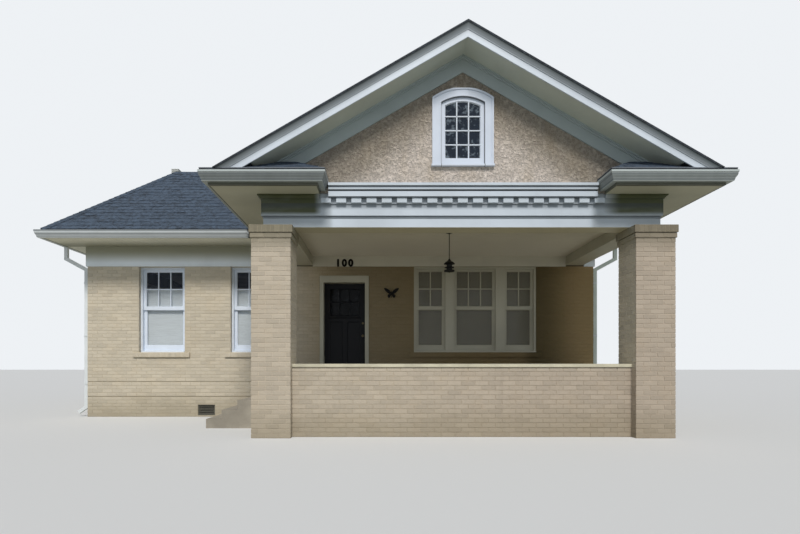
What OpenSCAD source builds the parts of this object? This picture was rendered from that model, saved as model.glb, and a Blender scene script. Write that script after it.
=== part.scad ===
// Bungalow of painted brick with a deep gabled front porch, at full size in millimetres.
// Plan axes before placing: x runs right from the left front corner of the brick body, y runs
// back from its front face, so that the porch has negative y, and z rises from the ground.

/* [House body] */
// Width of the brick body across the front
house_w = 10980; // [10400:10:13200]
// Depth of the brick body from front to back
house_d = 8400; // [6800:10:10200]
// Thickness of the brick walls
wall_t = 250; // [200:5:300]
// Height of the finished floor indoors
floor_z = 850; // [700:10:900]
// Thickness of the floor and its joists
floor_t = 200; // [120:5:240]
// Height of the ceiling indoors
ceiling_z = 3590; // [3450:10:3640]
// Underside of the flat eaves, where the walls stop
soffit_z = 3700; // [3680:10:3760]
// Bottom of the frieze board under the eaves
frieze_z = 3262; // [3230:1:3300]

/* [Eaves] */
// Overhang at the front, wall face to fascia face
eave_front = 790; // [600:10:900]
// Overhang at the sides and the back
eave_side = 480; // [350:10:560]
// Thickness of the soffit boards with their framing
soffit_t = 30; // [20:1:40]
// Thickness of a fascia board
fascia_t = 22; // [18:1:30]
// Width of a gutter from fascia to lip
gutter_w = 120; // [100:1:140]
// Height of a gutter
gutter_h = 150; // [120:1:165]
// Wall of a gutter's sheet metal with its rolled edge
gutter_t = 4; // [3:0.5:6]
// Distance that the roof covering reaches past the fascia
roof_lip = 25; // [15:1:40]

/* [Main roof] */
// Rise of the steep hipped slopes for each unit of run
hip_pitch = 0.936; // [0.85:0.001:1.0]
// Height of the roof edge over the main fascia
hip_edge_z = 3880; // [3870:1:3900]
// Height of the level deck on top
deck_z = 5744; // [5400:1:5850]
// Width of the hipped roof's timber at its heel
heel_w = 150; // [120:5:180]
// Thickness of the deck with its joists
deck_t = 150; // [100:5:200]

/* [Porch roof] */
// Half the width of the porch roof, middle to fascia face
porch_half = 3825; // [3780:1:3900]
// Height of the gable's peak
peak_z = 6145; // [6050:1:6250]
// Rise of the gable's slopes for each unit of run
gable_pitch = 0.577; // [0.56:0.001:0.59]
// Upright thickness of the gable's slopes
slope_t = 200; // [180:5:215]
// Front face of the sloping rake boards
rake_y = -3830; // [-3900:5:-3800]
// Underside of the porch's eaves and cornice returns
porch_soffit_z = 3790; // [3780:1:3800]
// Front face of the cornice returns
return_y = -3730; // [-3760:1:-3710]
// Half the gap between the two cornice returns
return_gap = 2205; // [1800:5:2300]

/* [Entablature] */
// Half the length of the front beam
beam_half = 3143; // [3080:1:3200]
// Front face of the front beam
beam_y = -3270; // [-3290:1:-3200]
// Thickness of the porch beams
beam_t = 400; // [350:5:420]
// Underside of the beams, on top of the piers
beam_z = 3292; // [3260:1:3300]
// Height of the flat architrave at the foot of the beam
architrave_h = 174; // [150:1:190]
// Number of dentils
dentil_count = 19; // [11:1:19]
// Distance from one dentil to the next
dentil_pitch = 236; // [200:1:236]
// Width of one dentil
dentil_w = 154; // [100:1:160]
// Height of one dentil
dentil_h = 72; // [50:1:90]
// Distance that a dentil stands out
dentil_d = 62; // [40:1:80]
// Bottom of the dentils
dentil_z = 3653; // [3640:1:3670]
// Top of the ledge that caps the entablature
ledge_z = 3947; // [3930:1:3960]

/* [Gable] */
// Front face of the stucco gable wall
gable_y = -3320; // [-3340:1:-3300]
// Thickness of the gable wall
gable_t = 150; // [120:5:180]
// Upright height of the boards along the rake on the gable wall
rake_frieze_h = 260; // [200:5:300]
// Outer width of the arched window's casing
arch_w = 928; // [840:2:1000]
// Width of the arched casing's boards
arch_casing = 126; // [100:1:140]
// Top of the arched casing
arch_top = 5419; // [5300:1:5460]
// Radius of the casing's outer arch
arch_r = 797; // [640:1:900]
// Bottom of the arched window's sill
arch_sill_z = 4209; // [4180:1:4300]
// Width of the arched sash's stiles
arch_stile = 62; // [45:1:75]

/* [Porch] */
// Side of the square brick piers
pier_w = 600; // [540:10:640]
// Front face of the piers
pier_y = -3374; // [-3400:1:-3340]
// Half the distance between the piers, middle to inner face
pier_in = 2670; // [2600:1:2720]
// Height of the upper tier of the pier's cap
tier_top_h = 114; // [95:1:130]
// Height of the lower tier of the pier's cap
tier_low_h = 74; // [60:1:90]
// Distance that the upper tier stands out
tier_top_d = 34; // [25:1:50]
// Distance that the lower tier stands out
tier_low_d = 17; // [12:1:24]
// Height of the porch floor
porch_z = 830; // [720:10:850]
// Thickness of the porch floor
porch_t = 80; // [60:5:120]
// Top of the low wall's cap
cap_z = 1150; // [1050:5:1200]
// Thickness of that cap
cap_t = 50; // [40:1:70]
// Thickness of the low wall
low_wall_t = 300; // [240:5:320]
// Distance that the cap stands out on each side
cap_d = 30; // [15:1:40]
// Underside of the porch's board ceiling
porch_ceiling_z = 3490; // [3476:1:3560]
// Width of the steps
steps_w = 1400; // [1200:10:1500]
// Depth of one tread
tread = 280; // [240:5:300]
// Number of risers
risers = 5; // [4:1:6]

/* [Windows] */
// Width of a window's opening in the brick
window_w = 1004; // [900:2:1060]
// Bottom of the openings
window_z0 = 1400; // [1350:5:1460]
// Top of the openings
window_z1 = 3259; // [3200:1:3262]
// Left edges of the two openings left of the porch
window_x = [1107, 3100];
// Width of a frame's boards
frame_w = 45; // [35:1:60]
// Width of a sash's stiles and top rail
stile_w = 55; // [45:1:65]
// Height of the bottom rail
bottom_rail = 110; // [80:1:125]
// Middle of the meeting rails
meeting_z = 2367; // [2300:1:2420]
// Height of each meeting rail
meeting_h = 68; // [40:1:80]
// Thickness of a sash
sash_t = 35; // [30:1:45]
// Distance of the outer sash behind the wall's face
sash_y = 65; // [50:1:80]
// Thickness of the glass
glass_t = 5; // [4:1:8]
// Distance of the triple window's left edge from the porch's middle line
triple_off = 548; // [460:1:630]
// Glass width of its two side lights
side_light = 528; // [480:2:560]
// Glass width of its middle light
mid_light = 793; // [740:1:840]
// Width of the boards between the lights
mullion_w = 194; // [160:2:220]
// Height of a brick sill
sill_h = 105; // [80:5:120]
// Distance that a sill stands out
sill_d = 45; // [30:1:60]
// Distance that a sill reaches past its opening
sill_over = 110; // [60:5:130]

/* [Front door] */
// Distance of the door opening's left edge from the porch's middle line
door_off = 2594; // [2540:1:2630]
// Width of that opening
door_w = 1064; // [1000:1:1120]
// Top of that opening
door_top = 3063; // [3000:1:3120]
// Width of the frame's posts
door_post = 70; // [50:1:90]
// Height of the frame's head
door_head = 139; // [100:1:150]
// Thickness of the door leaf
leaf_t = 45; // [40:1:50]
// Clearance round the leaf
leaf_gap = 6; // [5:1:10]
// Bottom and top of the leaf's glazed part, over the floor
light_z = [1362, 1959];
// Width of the leaf's stiles
leaf_stile = 125; // [100:1:140]
// Height of the knob over the floor
knob_h = 919; // [860:1:1000]

/* [Hidden] */

$fn = 48;
e = 1;                                      // overshoot of a cut past a face
seat = 0.2;                                 // gap between a sloping board and the roof over it
brick = "#C4B79C";
trim = "#DDE2E6";
roofing = "#56616F";
stucco = "#CAC4B8";
glass = "#4A5560";

back_y = house_d + eave_side;               // back fascia face
left_x = -eave_side;                        // left fascia face
right_x = house_w + eave_side;              // right fascia face
porch_cx = right_x - porch_half;            // middle line of the porch, in line on the right
edge_x = [left_x - gutter_w, right_x + gutter_w];
edge_y = [return_y - gutter_w, back_y + gutter_w];

soffit_top = soffit_z + soffit_t;
porch_soffit_t = 20;
porch_soffit_top = porch_soffit_z + porch_soffit_t;
cover_t = 14;                               // roof covering where it laps over a fascia
gable_edge_z = peak_z - gable_pitch * (porch_half + roof_lip);
fascia_in = porch_half - fascia_t;
gable_heel = (peak_z - slope_t - porch_soffit_top) / gable_pitch;
attic_z = soffit_top - 40;                  // bottom of the cut that hollows the roofs

beam_back = beam_y + beam_t;
beam_in = beam_half - beam_t;
side_beam_top = porch_soffit_top;
frieze_t = 30;
cornice_half = return_gap - gutter_w;       // the cornice ends against the returns' gutters

pier_out = pier_in + pier_w;
pier_back = pier_y + pier_w;
low_wall_y = pier_y + (pier_w - low_wall_t) / 2;
low_wall_x = porch_cx + pier_in + (pier_w - low_wall_t) / 2;
porch_left = porch_cx - pier_out;
foundation_t = 200;

triple_w = 2 * frame_w + 6 * stile_w + 2 * side_light + mid_light + 2 * mullion_w;
triple_x = porch_cx - triple_off;
door_x = porch_cx - door_off;
door_right = door_x + door_w;
threshold_t = 27;

side_windows_y = [for (i = [0:2]) house_d * (2 * i + 1) / 6 - window_w / 2];
back_windows_x = [for (i = [0:3]) house_w * (2 * i + 1) / 8 - window_w / 2];
vent_w = 370;
vent_z = [30, 260];
vent_x = 2393;

function unit(v) = v / norm(v);
function mitre(a, b) = (a[0] * b[1] - a[1] * b[0]) / (1 + a * b);
function lows(s) = min([for (p = s) p[0]]);
function highs(s) = max([for (p = s) p[0]]);

// Half the width of the gable's slope, lowered by drop, at height z
function half_at(z, drop) = (peak_z - drop - z) / gable_pitch;

// Outline of a band along both slopes, from drop a to drop b, above the height foot
function chevron(a, b, foot) = [
    [-half_at(foot, a), foot], [0, peak_z - a], [half_at(foot, a), foot],
    [half_at(foot, b), foot], [0, peak_z - b], [-half_at(foot, b), foot]
];

// Outline of a ribbon of width w along a path in a plane
function side_of(path, i) =
    let (a = unit(path[max(i, 1)] - path[max(i, 1) - 1]),
         b = unit(path[min(i + 1, len(path) - 1)] - path[min(i, len(path) - 2)]),
         n = [-a[1] - b[1], a[0] + b[0]])
    n / (1 + a * b);
function ribbon(path, w) = concat(
    [for (i = [0:len(path) - 1]) path[i] + side_of(path, i) * w / 2],
    [for (i = [len(path) - 1:-1:0]) path[i] - side_of(path, i) * w / 2]
);

// A block between corners, drawn by its corners so that pieces that meet agree to the last digit
module block(x, y, z) {
    translate([0, 0, z[0]]) linear_extrude(height = z[1] - z[0])
        polygon([[x[0], y[0]], [x[1], y[0]], [x[1], y[1]], [x[0], y[1]]]);
}

// A flat outline in x and z, carried along y
module along_y(y0, y1) {
    translate([0, y1, 0]) rotate([90, 0, 0]) linear_extrude(height = y1 - y0) children();
}

// A flat outline in y and z, carried along x
module along_x(x0, x1) {
    translate([x0, 0, 0]) rotate([90, 0, 90]) linear_extrude(height = x1 - x0) children();
}

// A section of [distance out, height] carried along a plan path with mitred corners,
// out being to the right of the path
module moulding(path, section) {
    n = len(path);
    lo = lows(section);
    hi = highs(section);
    low_z = min([for (p = section) p[1]]);
    high_z = max([for (p = section) p[1]]);
    spare = max(abs(lo), abs(hi)) + e;
    for (i = [0:n - 2]) {
        run = norm(path[i + 1] - path[i]);
        ahead = unit(path[i + 1] - path[i]);
        m0 = i > 0 ? mitre(unit(path[i] - path[i - 1]), ahead) : 0;
        m1 = i < n - 2 ? mitre(ahead, unit(path[i + 2] - path[i + 1])) : 0;
        translate([path[i][0], path[i][1], 0]) rotate([0, 0, atan2(ahead[1], ahead[0])])
            intersection() {
                along_x(-spare, run + spare) polygon([for (p = section) [-p[0], p[1]]]);
                translate([0, 0, low_z - e]) linear_extrude(height = high_z - low_z + 2 * e)
                    polygon([
                        [-m0 * lo, -lo], [run + m1 * lo, -lo],
                        [run + m1 * hi, -hi], [-m0 * hi, -hi]
                    ]);
            }
    }
}

// The same piece on both sides of the porch's middle line, given for the right side
module both_sides() {
    translate([porch_cx, 0, 0]) {
        children();
        mirror([1, 0, 0]) children();
    }
}

// Shadow grooves of the water table, all round the foot of the walls
module wall_grooves() {
    groove = 12;
    for (z = [430, 754]) difference() {
        block([-e, house_w + e], [-e, house_d + e], [z, z + 14]);
        block([groove, house_w - groove], [groove, house_d - groove], [z - e, z + 15]);
    }
}

// Hole of one window with the pocket of its brick sill, the wall's face being at y 0
module window_hole(w) {
    block([0, w], [-e, wall_t + e], [window_z0, window_z1]);
    block([-sill_over, w + sill_over], [-e, sash_y], [window_z0 - sill_h, window_z0 + e / 2]);
}

// Placing of every single window: turned so that its wall's face is at y 0
module at_front_windows() { for (x = window_x) translate([x, 0, 0]) children(); }
module at_left_windows() {
    for (y = side_windows_y) translate([0, y + window_w, 0]) rotate([0, 0, -90]) children();
}
module at_right_windows() {
    for (y = side_windows_y) translate([house_w, y, 0]) rotate([0, 0, 90]) children();
}
module at_back_windows() {
    for (x = back_windows_x) translate([x + window_w, house_d, 0]) rotate([0, 0, 180]) children();
}
module at_all_windows() {
    at_front_windows() children();
    at_left_windows() children();
    at_right_windows() children();
    at_back_windows() children();
}

module vent_hole() { block([0, vent_w], [-e, wall_t + e], vent_z); }
module at_vents() {
    translate([vent_x, 0, 0]) children();
    for (y = side_windows_y) {
        translate([0, y + vent_w, 0]) rotate([0, 0, -90]) children();
        translate([house_w, y, 0]) rotate([0, 0, 90]) children();
    }
    for (x = back_windows_x) translate([x + vent_w, house_d, 0]) rotate([0, 0, 180]) children();
}

module front_wall(x0, x1, z0) {
    difference() {
        block([x0, x1], [0, wall_t], [z0, soffit_z]);
        at_front_windows() window_hole(window_w);
        translate([triple_x, 0, 0]) window_hole(triple_w);
        at_vents() vent_hole();
        wall_grooves();
    }
}
module front_wall_left() { color(brick) front_wall(0, door_x, 0); }
module front_wall_over_door() { color(brick) front_wall(door_x, door_right, door_top); }
module front_wall_right() { color(brick) front_wall(door_right, house_w, 0); }

module side_wall(x0) {
    difference() {
        block([x0, x0 + wall_t], [wall_t, house_d - wall_t], [0, soffit_z]);
        at_left_windows() window_hole(window_w);
        at_right_windows() window_hole(window_w);
        at_vents() vent_hole();
        wall_grooves();
    }
}
module left_wall() { color(brick) side_wall(0); }
module right_wall() { color(brick) side_wall(house_w - wall_t); }
module back_wall() {
    color(brick) difference() {
        block([0, house_w], [house_d - wall_t, house_d], [0, soffit_z]);
        at_back_windows() window_hole(window_w);
        at_vents() vent_hole();
        wall_grooves();
    }
}

module indoors(z0, z1) {
    block([wall_t, house_w - wall_t], [wall_t, house_d - wall_t], [z0, z1]);
}
// The joists and boards run between the walls
module main_floor() { color("#6E5238") indoors(floor_z - floor_t, floor_z); }
module main_ceiling() { color("#EDEBE4") indoors(ceiling_z, ceiling_z + 20); }

// Broad boards at the head of the walls, and the lower one where the porch's ceiling meets them
module frieze_boards() {
    side = [[0, frieze_z], [frieze_t, frieze_z], [frieze_t, soffit_z], [0, soffit_z]];
    color(trim) moulding([
        [porch_cx + beam_half, 0], [house_w, 0], [house_w, house_d], [0, house_d], [0, 0],
        [porch_cx - beam_half, 0]
    ], side);
}
module porch_frieze() {
    color(trim) block([porch_cx - beam_in, porch_cx + beam_in], [-frieze_t, 0],
                      [frieze_z, porch_ceiling_z]);
}

// Flat eaves: they rest on the walls' heads and carry the roof's heel
module main_soffit() {
    color(trim) {
        difference() {
            block([left_x + fascia_t, right_x - fascia_t],
                  [-eave_front + fascia_t, back_y - fascia_t], [soffit_z, soffit_top]);
            indoors(soffit_z - e, soffit_top + e);
            block([porch_cx - beam_half, porch_cx + beam_half], [-eave_front, 0],
                  [soffit_z - e, soffit_top + e]);
        }
        block([porch_cx + gable_heel, right_x - fascia_t],
              [-eave_front + fascia_t, back_y - fascia_t], [soffit_top, porch_soffit_top]);
    }
}

function board(z0, z1) = [[-fascia_t, z0], [0, z0], [0, z1], [-fascia_t, z1]];

// The front boards are lower where the porch's eaves close against them
module main_fascia() {
    color(trim) union() {
        difference() {
            moulding([
                [porch_cx + beam_half, -eave_front], [right_x, -eave_front], [right_x, back_y],
                [left_x, back_y], [left_x, -eave_front], [porch_cx - beam_half, -eave_front]
            ], board(soffit_z, hip_edge_z - cover_t));
            block([porch_cx - fascia_in, porch_cx + fascia_in],
                  [-eave_front - e, -eave_front + fascia_t], [porch_soffit_z, hip_edge_z]);
        }
        block([right_x - fascia_t, right_x], [-eave_front, back_y - fascia_t],
              [hip_edge_z - cover_t, gable_edge_z - cover_t]);
    }
}

// Section of an ogee gutter, open at the top, with its foot at height z and its back that high
function gutter_section(z, back) = let (w = gutter_w, h = gutter_h, t = gutter_t) [
    [0, z + back], [0, z], [w * 0.62, z], [w * 0.66, z + h * 0.10], [w * 0.74, z + h * 0.30],
    [w * 0.86, z + h * 0.46], [w * 0.92, z + h * 0.60], [w * 0.93, z + h * 0.74],
    [w, z + h * 0.80], [w, z + h], [w - 3 * t, z + h], [w - 3 * t, z + h - t],
    [w - t, z + h - t], [w - t, z + h * 0.80 + t], [w * 0.93 - t, z + h * 0.74 + t],
    [w * 0.92 - t, z + h * 0.60], [w * 0.86 - t, z + h * 0.46 + t],
    [w * 0.74 - t, z + h * 0.30 + t / 2], [w * 0.66 - t, z + h * 0.10 + t / 2],
    [w * 0.62 - t, z + t], [t, z + t], [t, z + back]
];
gutter_z = soffit_z - 5;
porch_gutter_z = porch_soffit_z + 40;
porch_gutter_back = gable_edge_z - cover_t - gutter_t - porch_gutter_z;

module main_gutter() {
    color(trim) moulding([
        [right_x, -eave_front], [right_x, back_y], [left_x, back_y], [left_x, -eave_front],
        [porch_cx - porch_half - gutter_w, -eave_front]
    ], gutter_section(gutter_z, gutter_h));
}

// A pipe from the gutter at distance out, through two bends, down the wall and kicked out
spout_w = 76;
spout_t = 60;
spout_y = 64;                               // from the wall's corner to the pipe
module downspout(out, at) {
    drop = gutter_z;
    stand = frieze_t + 6 + spout_w / 2;
    path = [[out, drop], [out, drop - 250], [stand, drop - 490], [stand, 210], [stand + 170, 90]];
    translate([0, at, 0]) along_y(0, spout_t) polygon(ribbon(path, spout_w));
}
module downspout_left() {
    color(trim) mirror([1, 0, 0]) downspout(eave_side + gutter_w * 0.31, spout_y);
}
module downspout_right() {
    color(trim) translate([house_w, 0, 0])
        downspout(right_x - house_w + gutter_w * 0.31, spout_y);
}

// Outer and inner forms of the hipped roof over the house, from its level deck down
module hip_form(out, foot, top, spread) {
    function rise(z) = (z - foot) / hip_pitch;
    x1 = porch_cx + spread;
    intersection() {
        along_y(-eave_front - 2 * roof_lip, back_y + 2 * roof_lip) polygon([
            [left_x - out, foot], [left_x - out + rise(top), top], [x1, top], [x1, foot]
        ]);
        along_x(left_x - 2 * roof_lip, x1) polygon([
            [-eave_front - out, foot], [-eave_front - out + rise(top), top],
            [back_y + out - rise(top), top], [back_y + out, foot]
        ]);
    }
}
module hip_outer() {
    difference() {
        union() {
            hip_form(roof_lip, hip_edge_z, deck_z, 0);
            block([left_x - roof_lip, porch_cx], [-eave_front - roof_lip, back_y + roof_lip],
                  [hip_edge_z - cover_t, hip_edge_z]);
        }
        block([porch_cx - porch_half - gutter_w, porch_cx + e],
              [-eave_front - roof_lip - e, -eave_front], [hip_edge_z - cover_t - e, deck_z]);
    }
    block([left_x + fascia_t, porch_cx], [-eave_front + fascia_t, back_y - fascia_t],
          [soffit_top, hip_edge_z]);
}
module hip_inner() { hip_form(-fascia_t - heel_w, soffit_top, deck_z - deck_t, 100); }

// Outer and inner forms of the gabled roof, which ends in a hip at the back
module back_clip(out, foot) {
    along_x(porch_cx - house_w, porch_cx + house_w) polygon([
        [edge_y[0] - 100, attic_z], [edge_y[0] - 100, peak_z + 100],
        [back_y + out - (peak_z + 100 - foot) / hip_pitch, peak_z + 100],
        [back_y + out, foot], [back_y + out, attic_z]
    ]);
}
module gable_outer() {
    lip = porch_half + roof_lip;
    difference() {
        intersection() {
            translate([porch_cx, 0, 0]) union() {
                along_y(edge_y[0], back_y + roof_lip) polygon([
                    [-lip, gable_edge_z - cover_t], [-lip, gable_edge_z], [0, peak_z],
                    [lip, gable_edge_z], [lip, gable_edge_z - cover_t], [0, peak_z - cover_t]
                ]);
                along_y(rake_y + fascia_t, back_y - fascia_t) polygon([
                    [-fascia_in, porch_soffit_top], [-fascia_in, gable_edge_z], [0, peak_z],
                    [fascia_in, gable_edge_z], [fascia_in, porch_soffit_top]
                ]);
                along_y(rake_y + fascia_t, back_y - fascia_t) polygon([
                    [0, soffit_top], [0, porch_soffit_top], [gable_heel, porch_soffit_top],
                    [gable_heel, soffit_top]
                ]);
            }
            back_clip(roof_lip, hip_edge_z);
        }
        block([porch_cx - lip - e, porch_cx + lip + e], [edge_y[0] - e, return_y + fascia_t],
              [soffit_z, porch_gutter_z + gutter_h]);
    }
}
module gable_inner() {
    intersection() {
        translate([porch_cx, 0, 0]) along_y(edge_y[0] - 50, back_y) polygon([
            [-gable_heel, attic_z], [-gable_heel, porch_soffit_top], [0, peak_z - slope_t],
            [gable_heel, porch_soffit_top], [gable_heel, attic_z]
        ]);
        back_clip(-fascia_t - heel_w, soffit_top);
    }
}

module main_roof() {
    color(roofing) difference() {
        hip_outer();
        hip_inner();
        gable_inner();
    }
}
module gable_roof() {
    color(roofing) difference() {
        gable_outer();
        hip_outer();
        gable_inner();
    }
}

deck_in = (deck_z - hip_edge_z) / hip_pitch - roof_lip;
module roof_deck() {
    inset = 40;
    color("#6B7076") difference() {
        block([left_x + deck_in + inset, porch_cx],
              [-eave_front + deck_in + inset, back_y - deck_in - inset], [deck_z, deck_z + 16]);
        gable_outer();
    }
}

// Louvred vent that stands on the left slope where the hip meets the deck
module roof_vent() {
    w = 150;
    rim = 12;
    louvre = 36;
    x0 = left_x + deck_in - 130;
    y0 = -eave_front + deck_in + 40;
    foot = hip_edge_z + hip_pitch * (x0 - left_x + roof_lip);
    top = deck_z + 84;
    color("#C9CCCB") difference() {
        union() {
            block([x0, x0 + w], [y0, y0 + w], [foot, top]);
            for (i = [0:2]) block([x0 - rim, x0 + w + rim], [y0 - rim, y0 + w + rim],
                                  [top - louvre / 2 - i * louvre, top - i * louvre]);
        }
        hip_outer();
    }
}

module pier_feet() {
    both_sides() block([pier_in, pier_out], [pier_y, pier_back], [-e, cap_z + e]);
}
// Brick walls that carry the porch floor, with the house's foundation under the doorway
module porch_foundation() {
    floor_x1 = low_wall_x;
    floor_y0 = low_wall_y + low_wall_t;
    color(brick) union() {
        difference() {
            block([porch_left, floor_x1], [floor_y0, 0], [0, porch_z - porch_t]);
            block([porch_left + foundation_t, floor_x1 - foundation_t],
                  [floor_y0 + foundation_t, -foundation_t], [-e, porch_z]);
            pier_feet();
        }
        block([door_x, door_right], [0, wall_t], [0, porch_z]);
    }
}
module porch_floor() {
    color("#8C8478") difference() {
        block([porch_left, low_wall_x], [low_wall_y + low_wall_t, 0],
              [porch_z - porch_t, porch_z]);
        pier_feet();
    }
}
// Low walls along the front and the right side, between the piers and the house
module low_walls(grow, z0, z1) {
    block([porch_cx - pier_in, porch_cx + pier_in],
          [low_wall_y - grow, low_wall_y + low_wall_t + grow], [z0, z1]);
    block([low_wall_x - grow, low_wall_x + low_wall_t + grow], [pier_back, 0], [z0, z1]);
}
module porch_low_wall() { color(brick) low_walls(0, 0, cap_z - cap_t); }
module porch_wall_cap() { color("#D8D2B8") low_walls(cap_d, cap_z - cap_t, cap_z); }

module porch_steps() {
    rise = porch_z / risers;
    mid_y = (pier_back) / 2;
    color("#A8A296") for (i = [1:risers - 1])
        block([porch_left - i * tread, porch_left - (i - 1) * tread],
              [mid_y - steps_w / 2, mid_y + steps_w / 2], [0, porch_z - i * rise]);
}

// Square brick pier under a cap of two corbelled tiers with a thin shadow joint between
module pier(x0) {
    joint = 8;
    top = beam_z;
    mid = top - tier_top_h;
    low = mid - joint - tier_low_h;
    y = [pier_y, pier_back];
    x = [x0, x0 + pier_w];
    color(brick) union() {
        block(x, y, [0, top]);
        block([x[0] - tier_low_d, x[1] + tier_low_d], [y[0] - tier_low_d, y[1] + tier_low_d],
              [low, mid - joint]);
        block([x[0] - tier_top_d, x[1] + tier_top_d], [y[0] - tier_top_d, y[1] + tier_top_d],
              [mid, top]);
    }
}
module pier_left() { pier(porch_left); }
module pier_right() { pier(porch_cx + pier_in); }

// The beams' frieze stands out over their architrave, front and sides
architrave_in = 26;
frieze_foot = beam_z + architrave_h;
module front_beam() {
    in = architrave_in;
    fillet = [frieze_foot - 30, frieze_foot - 16];
    color(trim) translate([porch_cx, 0, 0]) union() {
        block([-beam_half + in, beam_half - in], [beam_y + 38, beam_back], [beam_z, frieze_foot]);
        block([-beam_half + in - 8, beam_half - in + 8], [beam_y + 26, beam_back], fillet);
        block([-beam_half, beam_half], [beam_y, beam_back], [frieze_foot, side_beam_top]);
        block([-cornice_half, cornice_half], [beam_y, beam_back], [side_beam_top, ledge_z]);
    }
}
module side_beams() {
    color(trim) both_sides() {
        block([beam_in, beam_half - architrave_in], [beam_back, 0], [beam_z, frieze_foot]);
        block([beam_in, beam_half], [beam_back, 0], [frieze_foot, side_beam_top]);
    }
}

// Moulding in the corner between the beams and the eaves, from the returns' inner ends back
module bed_moulds() {
    z = porch_soffit_z;
    color(trim) both_sides() moulding([
        [return_gap + fascia_t + 3, beam_y], [beam_half, beam_y], [beam_half, -eave_front - 3]
    ], [
        [0, z - 60], [14, z - 60], [18, z - 48], [36, z - 28], [46, z - 22], [54, z - 18],
        [54, z], [0, z]
    ]);
}

// Row of blocks below the cornice, the last ones running in under the returns
dentil_back = 18;                              // board behind the dentils
module dentils() {
    color(trim) translate([porch_cx, 0, 0]) for (i = [0:dentil_count - 1])
        let (x = (i - (dentil_count - 1) / 2) * dentil_pitch)
        block([x - dentil_w / 2, x + dentil_w / 2], [beam_y - dentil_d, beam_y - dentil_back],
              [dentil_z, dentil_z + dentil_h]);
}

// Cornice over the dentils: two bands with deep quirks between them, under a thin ledge.
// Its foot is the board behind the dentils
module cornice() {
    z = dentil_z + dentil_h;
    out = [
        [0, dentil_z - 8], [dentil_back, dentil_z - 8], [dentil_back, z], [dentil_d + 2, z],
        [dentil_d + 2, z + 14], [dentil_d + 30, z + 14], [dentil_d + 30, z + 94],
        [dentil_d - 2, z + 97], [dentil_d - 2, z + 118], [dentil_d + 42, z + 121],
        [dentil_d + 47, z + 150], [dentil_d + 20, z + 153], [dentil_d + 20, z + 173],
        [dentil_d + 74, z + 175], [dentil_d + 74, ledge_z - 8], [60, ledge_z], [0, ledge_z]
    ];
    color(trim) moulding([[porch_cx - cornice_half, beam_y], [porch_cx + cornice_half, beam_y]], out);
}

module porch_ceiling() {
    color("#D8D6CC") block([porch_cx - beam_in, porch_cx + beam_in], [beam_back, 0],
                           [porch_ceiling_z, porch_ceiling_z + 20]);
}

// Hanging lantern on a rod: a stepped hood, a guard ring round the glazed body and a tray
module porch_lantern() {
    drop = 472;
    r = 100;
    glass_r = 50;
    translate([porch_cx - 50, -2100, porch_ceiling_z]) color("#1E1C1A") rotate_extrude() polygon([
        [0, 0], [60, 0], [60, -10], [16, -26], [7, -34], [7, -drop], [16, -drop - 4],
        [18, -drop - 20], [34, -drop - 28], [40, -drop - 44], [64, -drop - 52],
        [r - 4, -drop - 82], [r, -drop - 90], [r - 5, -drop - 94], [glass_r + 6, -drop - 96],
        [glass_r, -drop - 98], [glass_r, -drop - 142], [r * 0.84, -drop - 146],
        [r * 0.86, -drop - 154], [r * 0.82, -drop - 160], [glass_r, -drop - 164],
        [glass_r, -drop - 196], [r * 0.9, -drop - 200], [r * 0.95, -drop - 210],
        [r * 0.88, -drop - 226], [r * 0.4, -drop - 232], [14, -drop - 240], [0, -drop - 244]
    ]);
}

module arch_outline(inset, foot) {
    cz = arch_top - arch_r;
    intersection() {
        translate([0, cz]) circle(r = arch_r - inset, $fn = 180);
        translate([-arch_w / 2 + inset, foot]) square([arch_w - 2 * inset, arch_top - foot]);
    }
}
arch_foot = arch_sill_z + 41;

// Stucco wall that stands on the front beam, with its arched opening
module gable_wall() {
    half = beam_half;
    top = peak_z - slope_t - seat;
    color(stucco) translate([porch_cx, 0, 0]) difference() {
        along_y(gable_y, gable_y + gable_t) polygon([
            [-cornice_half, ledge_z], [cornice_half, ledge_z],
            [cornice_half, side_beam_top], [half, side_beam_top],
            [half, top - gable_pitch * half], [0, top], [-half, top - gable_pitch * half],
            [-half, side_beam_top],
            [-cornice_half, side_beam_top]
        ]);
        along_y(gable_y - e, gable_y + gable_t + e) arch_outline(arch_casing, arch_foot);
    }
}

rake_soffit_t = 15;
rake_foot = 4105;
module rake_fascia() {
    crown = 15;
    color(trim) translate([porch_cx, 0, 0]) union() {
        along_y(rake_y, rake_y + fascia_t)
            polygon(chevron(cover_t + seat, slope_t + rake_soffit_t + 8,
                            porch_gutter_z + gutter_h));
        along_y(rake_y - crown, rake_y)
            polygon(chevron(cover_t + seat, cover_t + 62, porch_gutter_z + gutter_h));
    }
}
module rake_soffit() {
    color(trim) translate([porch_cx, 0, 0]) along_y(rake_y + fascia_t, gable_y)
        polygon(chevron(slope_t + seat, slope_t + rake_soffit_t, rake_foot));
}
// Board under the rake's soffit, with a bed mould of two steps in the corner between them
module rake_frieze() {
    drop = slope_t + rake_soffit_t + seat;
    board_t = 25;
    bed = [[58, 30], [40, 62]];
    color(trim) translate([porch_cx, 0, 0]) union() {
        along_y(gable_y - board_t, gable_y)
            polygon(chevron(drop, drop + rake_frieze_h, rake_foot));
        for (step = bed) along_y(gable_y - step[0], gable_y - board_t)
            polygon(chevron(drop, drop + step[1], rake_foot));
    }
}

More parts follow.
